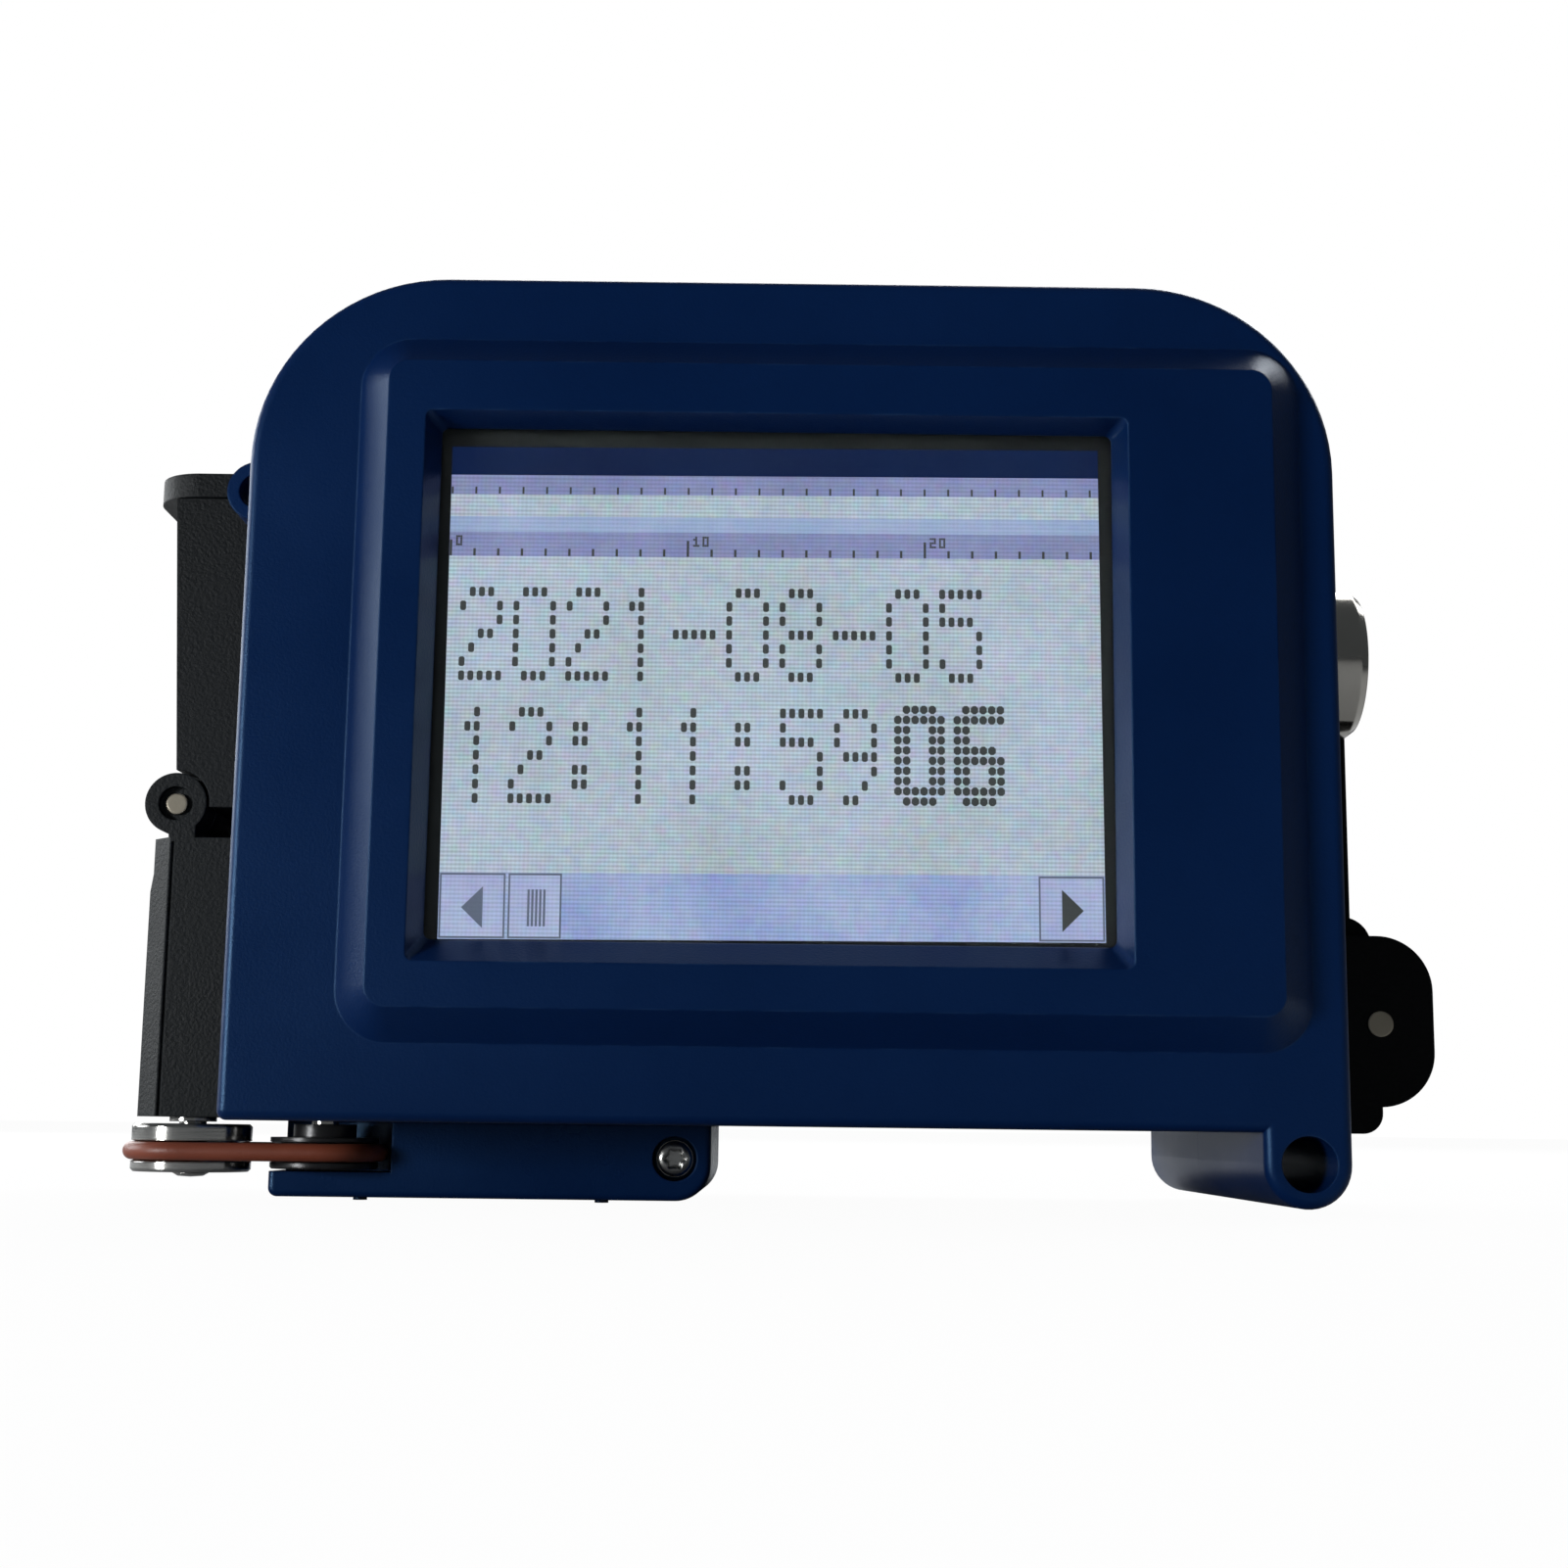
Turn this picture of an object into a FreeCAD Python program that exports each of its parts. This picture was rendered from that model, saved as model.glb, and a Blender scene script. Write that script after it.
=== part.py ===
"""Date code inkjet printer: a hand-sized box with a touch screen on its front, a side-firing ink
cartridge and a measuring roller on its left, and a trigger button and battery door on its right.
Millimetres; X to the right, Y to the back, Z up; the origin is under the middle of the printer."""
import FreeCAD, Part
import math
import os
import re
import Sketcher

doc = FreeCAD.newDocument("DateCodePrinter")
sheet = doc.addObject("Spreadsheet::Sheet", "Sizes")

# Driving dimensions. Places are measured from the frame's origin; names ending in _x, _y or _z
# are centre lines.
SIZES = {
    # casing: two shells that meet at the seam
    "case_left": -59.9, "case_right": 57.7, "case_low": 8.9, "case_high": 100.7, "case_corner": 21.0,
    "foot_corner": 1.0, "brim": -34.5, "seam": 1.5, "case_back": 35.4, "wall": 2.5, "edge_round": 1.1,
    # raised panel round the screen, and the bevelled window in it
    "panel_front": -38.0, "panel_left": -48.0, "panel_right": 53.9, "panel_low": 17.0,
    "panel_high": 93.4, "panel_corner": 5.5, "panel_run": 3.6, "panel_corner_top": 2.2,
    "bevel_left": -40.3, "bevel_right": 34.8, "bevel_low": 25.3, "bevel_high": 84.3, "bevel_round": 0.8,
    "window_left": -39.0, "window_right": 33.5, "window_low": 27.8, "window_high": 83.3,
    # rod column under the right corner, strap eye on the left wall
    "column_x": 53.1, "column_z": 5.7, "column_radius": 4.6, "column_bore": 2.9,
    "eye_x": -60.7, "eye_z": 78.3, "eye_radius": 3.35, "eye_bore": 2.0, "eye_front": -27.0, "eye_back": -20.0,
    # screws and bosses that hold the shells together
    "boss_radius": 2.6, "boss_bore": 1.2, "boss_head": 2.0, "head_sunk": 1.6,
    "upper_boss_left": -50.0, "upper_boss_right": 47.5,
    "upper_boss_z": 88.0, "lower_boss_left": 10.0, "lower_boss_right": 44.0, "lower_boss_z": 14.1,
    # small screws: radius of the thread, of the pan head, and of the hole they pass
    "screw_thread": 1.0, "screw_head": 1.9, "screw_hole": 1.1,
    # display: touch glass, LCD module, the steel plate behind it, and the ribbon from its foot
    "glass_left": -41.4, "glass_right": 35.8, "glass_low": 23.2, "glass_high": 87.2,
    "glass_thick": 1.6, "module_thick": 3.0, "plate_front": -29.3, "plate_thick": 0.8,
    "ribbon_left": -13.0, "ribbon_right": 3.0, "ribbon_low": 19.6, "ribbon_high": 24.4,
    "ribbon_front": -31.3, "ribbon_back": -21.5, "ribbon_thick": 0.2,
    # main circuit board
    "board_left": -43.5, "board_right": 41.5, "board_low": 22.0, "board_high": 90.0,
    "board_front": -24.0, "board_thick": 1.6, "buzzer_x": 32.0, "buzzer_z": 78.0, "buzzer_radius": 5.2,
    # ink cartridge: body, snout and print face
    "pen_left": -56.0, "pen_right": -3.5, "pen_low": 13.0, "pen_high": 77.0, "pen_front": -1.0,
    "pen_back": 27.0, "snout_left": -71.2, "snout_high": 39.0, "snout_front": 1.0, "snout_back": 25.0,
    "nozzle_y": 13.0, "nozzle_z": 24.0, "nozzle_wide": 15.2, "nozzle_tall": 13.6,
    # contact pins of the cartridge bay, four across and six up
    "contact_left": -51.5, "contact_low": 18.5, "contact_pitch_x": 3.7, "contact_pitch_z": 3.8,
    "contact_radius": 0.45,
    # nose shroud round the snout
    "nose_left": -73.9, "nose_front": -16.5, "nose_back": 30.0, "nose_low": 9.2, "nose_high": 40.6,
    "nose_wall": 2.3, "nose_bevel": 2.7, "eyelet_y": -9.7, "eyelet_z": 25.0, "eyelet_radius": 4.0,
    # cartridge latch lever and its pin
    "lever_x": -70.8, "lever_z": 44.5, "knuckle_radius": 3.5, "knuckle_width": 4.5, "pin_radius": 1.2,
    "lever_right": -60.3, "lip_left": -75.4, "lip_corner": 5.5, "lip_front": -17.3, "lip_thick": 2.8,
    "lever_high": 83.2, "lever_wall": 2.0, "pad_front": 8.5, "pad_back": 17.5, "pad_low": 58.5,
    "pad_high": 66.5,
    # clearance of a turning fit, and of a part that swings past another
    "running": 0.05, "gap": 0.35,
    # measuring roller, belt and encoder pulley
    "roller_x": -67.9, "roller_y": -12.5, "roller_radius": 6.6, "roller_low": 3.15, "roller_high": 8.45,
    "belt_z": 5.45, "belt_radius": 1.0, "belt_pitch_roller": 6.5, "groove_mouth": 1.15,
    "groove_floor": 0.8, "belt_pitch_pulley": 6.1,
    "bearing_radius": 4.0, "axle_radius": 1.5, "pulley_x": -52.9, "pulley_radius": 6.0,
    "pulley_low": 3.6, "pulley_high": 7.1, "hub_radius": 3.5, "bush_radius": 2.5,
    # bracket under the casing
    "bracket_left": -59.0, "bracket_right": -9.2, "bracket_low": 0.5, "bracket_front": -13.5,
    "bracket_back": 16.0, "bracket_corner": 4.0, "pip_radius": 0.8, "pip_y": -6.0,
    "pocket_floor": 3.3, "pocket_radius": 7.8, "clamp_x": -13.3, "clamp_z": 5.2, "clamp_head": 2.05,
    "clamp_thread": 1.25, "bracket_screw_left": -36.0, "bracket_screw_right": -20.0,
    "bracket_screw_y": 8.0, "bracket_thread": 1.3,
    # trigger button through the right wall
    "button_y": -13.5, "button_z": 62.8, "bezel_radius": 8.6, "bezel_right": 64.4, "cap_radius": 6.4,
    "barrel_radius": 7.6, "stem_radius": 2.2, "nut_radius": 9.6, "nut_thick": 2.6, "terminal_y": 3.0,
    # battery door, its frame with two ears, and the pack
    "frame_right": 59.7, "frame_front": -4.5, "frame_back": 35.4, "frame_high": 59.6, "ear_right": 75.4,
    "ear_low": 12.0, "ear_high": 32.1, "ear_corner": 6.5, "ear_thick": 2.5, "hinge_x": 69.1,
    "hinge_z": 21.7, "hinge_radius": 1.5, "door_right": 66.6, "door_high": 59.4, "door_hub": 5.6,
    "pack_left": 5.6, "pack_right": 56.4, "pack_front": 4.6, "pack_back": 27.4, "pack_low": 18.7,
    "pack_high": 55.9, "tray_gap": 0.3, "tray_wall": 1.1,
    # rear hatch over the cartridge bay
    "hatch_x": 3.6, "hatch_y": 36.0, "hatch_barrel": 2.0, "hatch_pin": 0.9, "hatch_low": 10.0,
    "hatch_high": 81.0, "hatch_thick": 1.9, "hatch_left": -62.2, "knuckle_tall": 8.0,
    # sockets on a small board behind the top of the back
    "data_x": 26.0, "data_wide": 11.8, "data_tall": 4.4, "socket_z": 85.8, "power_x": 39.5,
    "power_radius": 3.5, "power_bore": 2.7,
}
for row, (alias, number) in enumerate(SIZES.items(), start=1):
    sheet.set(f"A{row}", alias)
    sheet.set(f"B{row}", str(number))
    sheet.setAlias(f"B{row}", alias)
doc.recompute()


def linked(text):
    """The expression with each alias written as a cell of the sheet."""
    return re.sub(r"[a-z_]{3,}", lambda word: "Sizes." + word[0] if word[0] in SIZES else word[0], str(text))


def number(text):
    """The expression's value now, for starting geometry and for shapes made by code."""
    return float(sheet.evalExpression(linked(text)))


def bind(thing, prop, text):
    thing.setExpression(prop, linked(text))


# ---------------------------------------------------------------- Part primitives

def block(name, x, y, z):
    """A box between a low and a high value along each axis."""
    box = doc.addObject("Part::Box", name)
    for side, place, (low, high) in (("Length", "x", x), ("Width", "y", y), ("Height", "z", z)):
        bind(box, side, f"({high}) - ({low})")
        bind(box, "Placement.Base." + place, low)
    return box


TURNS = {
    "X": FreeCAD.Rotation(FreeCAD.Vector(0, 1, 0), 90),
    "Y": FreeCAD.Rotation(FreeCAD.Vector(1, 0, 0), -90),
    "Z": FreeCAD.Rotation(),
}


def rod(name, axis, radius, low, high, across):
    """A cylinder along an axis; across holds its centre on the other two axes, in X, Y, Z order."""
    cylinder = doc.addObject("Part::Cylinder", name)
    cylinder.Placement = FreeCAD.Placement(FreeCAD.Vector(), TURNS[axis])
    bind(cylinder, "Radius", radius)
    bind(cylinder, "Height", f"({high}) - ({low})")
    places = [p for p in "xyz" if p != axis.lower()]
    bind(cylinder, "Placement.Base." + axis.lower(), low)
    for place, value in zip(places, across):
        bind(cylinder, "Placement.Base." + place, value)
    return cylinder


def joined(name, *shapes):
    fuse = doc.addObject("Part::MultiFuse", name)
    fuse.Shapes = list(shapes)
    return fuse


def grouped(name, *shapes):
    """Separate solids kept together as one sub-part."""
    group = doc.addObject("Part::Compound", name)
    group.Links = list(shapes)
    return group


def less(name, base, *tools):
    cut = doc.addObject("Part::Cut", name)
    cut.Base = base
    cut.Tool = tools[0] if len(tools) == 1 else joined(name + "_tools", *tools)
    return cut


def softened(name, base, radius, pick):
    """Fillet the edges that pick says yes to."""
    doc.recompute()
    fillet = doc.addObject("Part::Fillet", name)
    fillet.Base = base
    size = number(radius)
    fillet.Edges = [(i, size, size) for i, edge in enumerate(base.Shape.Edges, start=1) if pick(edge)]
    return fillet


def tube(name, axis, outer, inner, low, high, across):
    return less(name, rod(name + "_outer", axis, outer, low, high, across),
                rod(name + "_bore", axis, inner, f"({low}) - 1", f"({high}) + 1", across))


# ---------------------------------------------------------------- PartDesign bodies

PLANES = {"XY": ("XY_Plane", 1), "XZ": ("XZ_Plane", -1), "YZ": ("YZ_Plane", 1)}


def new_body(name):
    return doc.addObject("PartDesign::Body", name)


def new_sketch(body, plane, level, right="0", up="0"):
    """A sketch on an origin plane, moved to a level along the plane's own world axis."""
    role, sense = PLANES[plane]
    origin = [f for f in body.Origin.OriginFeatures if f.Role == role][0]
    sketch = body.newObject("Sketcher::SketchObject", body.Name + "_outline")
    sketch.AttachmentSupport = [(origin, "")]
    sketch.MapMode = "FlatFace"
    bind(sketch, "AttachmentOffset.Base.x", right)
    bind(sketch, "AttachmentOffset.Base.y", up)
    bind(sketch, "AttachmentOffset.Base.z", f"{sense} * ({level})")
    return sketch


def fix_point(sketch, geometry, point, axis, text):
    index = sketch.addConstraint(Sketcher.Constraint("Distance" + axis, -1, 1, geometry, point, number(text)))
    bind(sketch, f"Constraints[{index}]", text)


def ring(*corners):
    """A closed outline of horizontal and vertical lines; each corner is (right, up, radius)."""
    def draw(sketch):
        spots = [FreeCAD.Vector(number(u), number(v), 0) for u, v, _ in corners]
        count = len(corners)
        lines = []
        for i in range(count):
            start, end = spots[i], spots[(i + 1) % count]
            along = (end - start).normalize()
            start = start + along * number(corners[i][2])
            end = end - along * number(corners[(i + 1) % count][2])
            lines.append(sketch.addGeometry(Part.LineSegment(start, end)))
            level = abs(along.y) < 0.5
            sketch.addConstraint(Sketcher.Constraint("Horizontal" if level else "Vertical", lines[-1]))
            fix_point(sketch, lines[-1], 1, "Y" if level else "X", corners[i][1 if level else 0])
        for i in range(count):
            before, after, radius = lines[i - 1], lines[i], number(corners[i][2])
            if radius == 0:
                sketch.addConstraint(Sketcher.Constraint("Coincident", before, 2, after, 1))
                continue
            tip = spots[i]
            back = (sketch.Geometry[before].StartPoint - tip).normalize() * radius
            ahead = (sketch.Geometry[after].EndPoint - tip).normalize() * radius
            middle = tip + (back + ahead) * (1 - 0.5 ** 0.5)
            arc = sketch.addGeometry(Part.Arc(tip + back, middle, tip + ahead))
            first, last = (1, 2)
            if (sketch.Geometry[arc].StartPoint - (tip + back)).Length > radius * 0.5:
                first, last = (2, 1)
            sketch.addConstraint(Sketcher.Constraint("Tangent", before, 2, arc, first))
            sketch.addConstraint(Sketcher.Constraint("Tangent", arc, last, after, 1))
            index = sketch.addConstraint(Sketcher.Constraint("Radius", arc, radius))
            bind(sketch, f"Constraints[{index}]", corners[i][2])
    return draw


def rectangle(left, right, low, high, lower="0", upper=None):
    """A rectangle with one radius for its lower corners and one for its upper corners."""
    upper = lower if upper is None else upper
    return ring((left, low, lower), (right, low, lower), (right, high, upper), (left, high, upper))


def circle(right, up, radius):
    def draw(sketch):
        centre = FreeCAD.Vector(number(right), number(up), 0)
        disc = sketch.addGeometry(Part.Circle(centre, FreeCAD.Vector(0, 0, 1), number(radius)))
        fix_point(sketch, disc, 3, "X", right)
        fix_point(sketch, disc, 3, "Y", up)
        index = sketch.addConstraint(Sketcher.Constraint("Radius", disc, number(radius)))
        bind(sketch, f"Constraints[{index}]", radius)
    return draw


def polygon(*points):
    """A closed outline of straight lines through points that are each held in place."""
    def draw(sketch):
        spots = [FreeCAD.Vector(number(u), number(v), 0) for u, v in points]
        lines = [sketch.addGeometry(Part.LineSegment(a, b)) for a, b in zip(spots, spots[1:] + spots[:1])]
        for before, after in zip(lines, lines[1:] + lines[:1]):
            sketch.addConstraint(Sketcher.Constraint("Coincident", before, 2, after, 1))
        for line, (u, v) in zip(lines, points):
            fix_point(sketch, line, 1, "X", u)
            fix_point(sketch, line, 1, "Y", v)
    return draw


def prism(body, kind, plane, low, high, *outlines):
    """A Pad or a Pocket of the outlines between two levels of the plane's world axis."""
    sketch = new_sketch(body, plane, low)
    for draw in outlines:
        draw(sketch)
    feature = body.newObject("PartDesign::" + kind, f"{body.Name}_{kind.lower()}")
    feature.Profile = sketch
    bind(feature, "Length", f"({high}) - ({low})")
    feature.Reversed = (plane == "XZ") == (kind == "Pad")
    check_volume(body, feature, kind == "Pad")
    return feature


def check_volume(body, feature, adds):
    """A feature that leaves the volume as it was points the wrong way."""
    before = feature.BaseFeature.Shape.Volume if feature.BaseFeature else 0.0
    doc.recompute()
    change = feature.Shape.Volume - before
    if (change > 0) != adds or abs(change) < 1e-6:
        raise RuntimeError(f"{body.Name}: {feature.Name} changed the volume by {change:.4f}")


def loft(body, kind, plane, low, low_outline, high, high_outline):
    """An AdditiveLoft or SubtractiveLoft between two outlines at two levels."""
    first = new_sketch(body, plane, low)
    low_outline(first)
    second = new_sketch(body, plane, high)
    high_outline(second)
    feature = body.newObject("PartDesign::" + kind, f"{body.Name}_{kind.lower()}")
    feature.Profile = first
    feature.Sections = [second]
    check_volume(body, feature, kind == "AdditiveLoft")
    return feature


def lathe(body, axis, centre, *points):
    """A Revolution about a world axis; points are (radius, height) for Z and (height, radius) for X."""
    x, y, z = centre
    sketch = new_sketch(body, "XZ", y, x if axis == "Z" else "0", z if axis == "X" else "0")
    polygon(*points)(sketch)
    feature = body.newObject("PartDesign::Revolution", body.Name + "_turned")
    feature.Profile = sketch
    feature.ReferenceAxis = (sketch, ["V_Axis" if axis == "Z" else "H_Axis"])
    feature.Angle = 360
    check_volume(body, feature, True)
    return feature


def dress(body, kind, prop, size, pick):
    """A Fillet or Chamfer on the edges of the body so far that pick says yes to."""
    base = body.Tip
    names = [f"Edge{i}" for i, edge in enumerate(base.Shape.Edges, start=1) if pick(edge)]
    feature = body.newObject("PartDesign::" + kind, f"{body.Name}_{kind.lower()}")
    feature.Base = (base, names)
    bind(feature, prop, size)
    doc.recompute()
    return feature


def spans(edge, axis):
    """The low and high ends of an edge along an axis."""
    box = edge.BoundBox
    return getattr(box, axis + "Min"), getattr(box, axis + "Max")


def lies(edge, axis, level):
    """True for an edge that lies wholly at one level of an axis."""
    low, high = spans(edge, axis)
    return abs(low - number(level)) < 0.01 and abs(high - number(level)) < 0.01


# ---------------------------------------------------------------- casing shells

def case_outline():
    return rectangle("case_left", "case_right", "case_low", "case_high", "foot_corner", "case_corner")


def cavity_outline():
    return rectangle("case_left + wall", "case_right - wall", "case_low + wall", "case_high - wall",
                     "foot_corner", "case_corner - wall")


BOSSES = (("upper_boss_left", "upper_boss_z"), ("upper_boss_right", "upper_boss_z"),
          ("lower_boss_left", "lower_boss_z"), ("lower_boss_right", "lower_boss_z"))


def shell(name, low, high):
    """One half of the casing with its half of the rod column, still solid."""
    body = new_body(name)
    prism(body, "Pad", "XZ", low, high, case_outline())
    prism(body, "Pad", "XZ", low, high,
          rectangle("column_x - column_radius", "case_right", "column_z", "case_low + 3"))
    prism(body, "Pad", "XZ", low, high, circle("column_x", "column_z", "column_radius"))
    return body


# screws that hold the nose shroud and the door frame on, as (Y, Z) places on the side walls
NOSE_HOLES = (("pen_front - 13", "14.6"), ("pen_front - 13", "35.4"))
FRAME_HOLES = (("-0.8", "30"), ("-0.8", "50"), ("31.0", "30"), ("31.0", "50"))

front_cover = shell("front_cover", "brim", "seam")
dress(front_cover, "Fillet", "Radius", "edge_round", lambda edge: lies(edge, "Y", "brim"))
loft(front_cover, "AdditiveLoft", "XZ",
     "brim", rectangle("panel_left", "panel_right", "panel_low", "panel_high", "panel_corner"),
     "panel_front", rectangle("panel_left + panel_run", "panel_right - panel_run", "panel_low + panel_run",
                              "panel_high - panel_run", "panel_corner_top"))
prism(front_cover, "Pocket", "XZ", "brim + wall", "seam", cavity_outline())
loft(front_cover, "SubtractiveLoft", "XZ",
     "panel_front", rectangle("bevel_left", "bevel_right", "bevel_low", "bevel_high", "bevel_round"),
     "brim", rectangle("window_left", "window_right", "window_low", "window_high", "bevel_round"))
prism(front_cover, "Pocket", "XZ", "brim", "brim + wall",
      rectangle("glass_left - 0.3", "glass_right + 0.3", "glass_low - 0.3", "glass_high + 0.3",
                "bevel_round"))
prism(front_cover, "Pad", "XZ", "brim + wall", "seam", *[circle(x, z, "boss_radius") for x, z in BOSSES])
prism(front_cover, "Pocket", "XZ", "seam - 16", "seam", *[circle(x, z, "boss_bore") for x, z in BOSSES])
prism(front_cover, "Pad", "XZ", "eye_front", "eye_back", circle("eye_x", "eye_z", "eye_radius"))
prism(front_cover, "Pocket", "XZ", "eye_front", "eye_back", circle("eye_x", "eye_z", "eye_bore"))
prism(front_cover, "Pocket", "XZ", "brim", "seam", circle("column_x", "column_z", "column_bore"))
prism(front_cover, "Pocket", "YZ", "case_left - 1", "case_left + wall",
      rectangle("pen_front - 0.5", "seam", "nose_low + 2.8", "pen_high + 1"),
      circle("eyelet_y", "eyelet_z", "eyelet_radius"), *[circle(y, z, "screw_thread") for y, z in NOSE_HOLES])
prism(front_cover, "Pocket", "YZ", "case_right - wall", "case_right",
      circle("button_y", "button_z", "barrel_radius"),
      *[circle(y, z, "screw_thread - 0.1") for y, z in FRAME_HOLES[:2]])
prism(front_cover, "Pocket", "XY", "case_low", "case_low + wall",
      circle("pulley_x", "roller_y", "bush_radius"))
prism(front_cover, "Pad", "XY", "case_low + wall", "case_low + 10.6",
      circle("pulley_x + 6.9", "roller_y - 6", "1.6"), circle("pulley_x + 6.9", "roller_y + 5", "1.6"))

rear_cover = shell("rear_cover", "seam", "case_back")
dress(rear_cover, "Fillet", "Radius", "edge_round", lambda edge: lies(edge, "Y", "case_back"))
prism(rear_cover, "Pocket", "XZ", "seam", "case_back - wall", cavity_outline())
prism(rear_cover, "Pad", "XZ", "seam", "case_back - wall", *[circle(x, z, "boss_radius") for x, z in BOSSES])
prism(rear_cover, "Pocket", "XZ", "seam", "case_back",
      *[circle(x, z, "boss_bore + 0.2") for x, z in BOSSES])
prism(rear_cover, "Pocket", "XZ", "case_back - head_sunk", "case_back",
      *[circle(x, z, "boss_head + 0.2") for x, z in BOSSES])
prism(rear_cover, "Pocket", "XZ", "seam", "case_back", circle("column_x", "column_z", "column_bore"))
prism(rear_cover, "Pocket", "XZ", "case_back - wall", "case_back",
      rectangle("pen_left - 1.4", "pen_right + 1.6", "pen_low - 0.3", "pen_high + 0.3"))
prism(rear_cover, "Pocket", "YZ", "case_left - 1", "case_left + wall",
      rectangle("seam", "pen_back + 1", "nose_low + 2.8", "pen_high + 1"))
prism(rear_cover, "Pocket", "YZ", "case_left - 1", "case_left + wall",
      rectangle("pen_back", "case_back + 1", "nose_low + 2.8", "snout_high + 1"))
prism(rear_cover, "Pocket", "YZ", "case_right - wall - 0.5", "case_right",
      rectangle("pack_front - 0.6", "pack_back + 0.6", "pack_low - 0.6", "pack_high + 0.6"),
      *[circle(y, z, "screw_thread - 0.1") for y, z in FRAME_HOLES[2:]])
prism(rear_cover, "Pocket", "XY", "hatch_low - 0.4", "hatch_high + 0.4",
      rectangle("hatch_x - hatch_barrel - gap", "hatch_x + hatch_barrel + gap",
                "hatch_y - hatch_barrel - 0.15", "case_back + 1"))
for low, high in (("hatch_low", "hatch_low + knuckle_tall"), ("hatch_high - knuckle_tall", "hatch_high")):
    prism(rear_cover, "Pad", "XY", low, high, circle("hatch_x", "hatch_y", "hatch_barrel"))
    prism(rear_cover, "Pad", "XY", low, high,
          rectangle("hatch_x", "hatch_x + hatch_barrel + 1", "case_back - wall", "hatch_y"))
prism(rear_cover, "Pocket", "XY", "hatch_low - 0.4", "hatch_high + 0.4",
      circle("hatch_x", "hatch_y", "hatch_pin"))
prism(rear_cover, "Pocket", "XZ", "case_back - wall", "case_back",
      rectangle("data_x - data_wide / 2 - 0.2", "data_x + data_wide / 2 + 0.2",
                "socket_z - data_tall / 2 - 0.2", "socket_z + data_tall / 2 + 0.2", "0.3"),
      circle("power_x", "socket_z", "power_radius + 0.1"))

# four long screws from the back through the bosses
cover_screws = grouped("cover_screws", *[
    joined(f"cover_screw_{i}",
           rod(f"cover_head_{i}", "Y", "boss_head", "case_back - head_sunk", "case_back - 0.3", (x, z)),
           rod(f"cover_shank_{i}", "Y", "boss_bore", "seam - 12", "case_back - head_sunk", (x, z)))
    for i, (x, z) in enumerate(BOSSES)])

# ---------------------------------------------------------------- display

touch_panel = softened("touch_panel", block("touch_glass", ("glass_left", "glass_right"),
                                            ("brim", "brim + glass_thick"), ("glass_low", "glass_high")),
                       "0.6", lambda edge: spans(edge, "Y")[1] - spans(edge, "Y")[0] > 1)
display_module = block("display_module", ("glass_left", "glass_right"),
                       ("brim + glass_thick + 0.1", "brim + glass_thick + 0.1 + module_thick"),
                       ("glass_low", "glass_high"))
PLATE_HOLES = (("glass_left - 3.4", "glass_low - 0.6"), ("glass_right + 3.4", "glass_low - 0.6"),
               ("glass_left - 3.4", "glass_high - 3"), ("glass_right + 3.4", "glass_high - 3"))
display_plate = new_body("display_plate")
prism(display_plate, "Pad", "XZ", "plate_front", "plate_front + plate_thick",
      rectangle("glass_left - 5.4", "glass_right + 5.4", "glass_low - 2.6", "glass_high + 1", "1.5"))
prism(display_plate, "Pocket", "XZ", "plate_front", "plate_front + plate_thick",
      *[circle(x, z, "screw_hole") for x, z in PLATE_HOLES])
display_spacers = grouped("display_spacers", *[
    tube(f"display_spacer_{i}", "Y", "screw_head", "screw_hole", "brim + wall", "plate_front", spot)
    for i, spot in enumerate(PLATE_HOLES)])
display_screws = grouped("display_screws", *[
    joined(f"display_screw_{i}",
           rod(f"display_head_{i}", "Y", "screw_head - 0.1", "plate_front + plate_thick",
               "plate_front + plate_thick + 1.1", spot),
           rod(f"display_shank_{i}", "Y", "screw_thread", "brim + wall", "plate_front + plate_thick", spot))
    for i, spot in enumerate(PLATE_HOLES)])

# ---------------------------------------------------------------- main board

BOARD_HOLES = (("board_left + 13.5", "board_low + 4"), ("board_right - 13.5", "board_low + 4"),
               ("board_left + 13.5", "board_high - 4"), ("board_right - 13.5", "board_high - 4"))
main_board = less("main_board",
                  block("board_blank", ("board_left", "board_right"),
                        ("board_front", "board_front + board_thick"), ("board_low", "board_high")),
                  *[rod(f"board_hole_{i}", "Y", "screw_hole", "board_front - 1", "board_front + 4", spot)
                    for i, spot in enumerate(BOARD_HOLES)])
board_spacers = grouped("board_spacers", *[
    tube(f"board_spacer_{i}", "Y", "screw_head + 0.3", "screw_hole", "plate_front + plate_thick",
         "board_front", spot)
    for i, spot in enumerate(BOARD_HOLES)])
board_screws = grouped("board_screws", *[
    joined(f"board_screw_{i}",
           rod(f"board_head_{i}", "Y", "screw_head", "board_front + board_thick",
               "board_front + board_thick + 1.2", spot),
           rod(f"board_shank_{i}", "Y", "screw_thread", "plate_front + plate_thick",
               "board_front + board_thick", spot))
    for i, spot in enumerate(BOARD_HOLES)])
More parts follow.
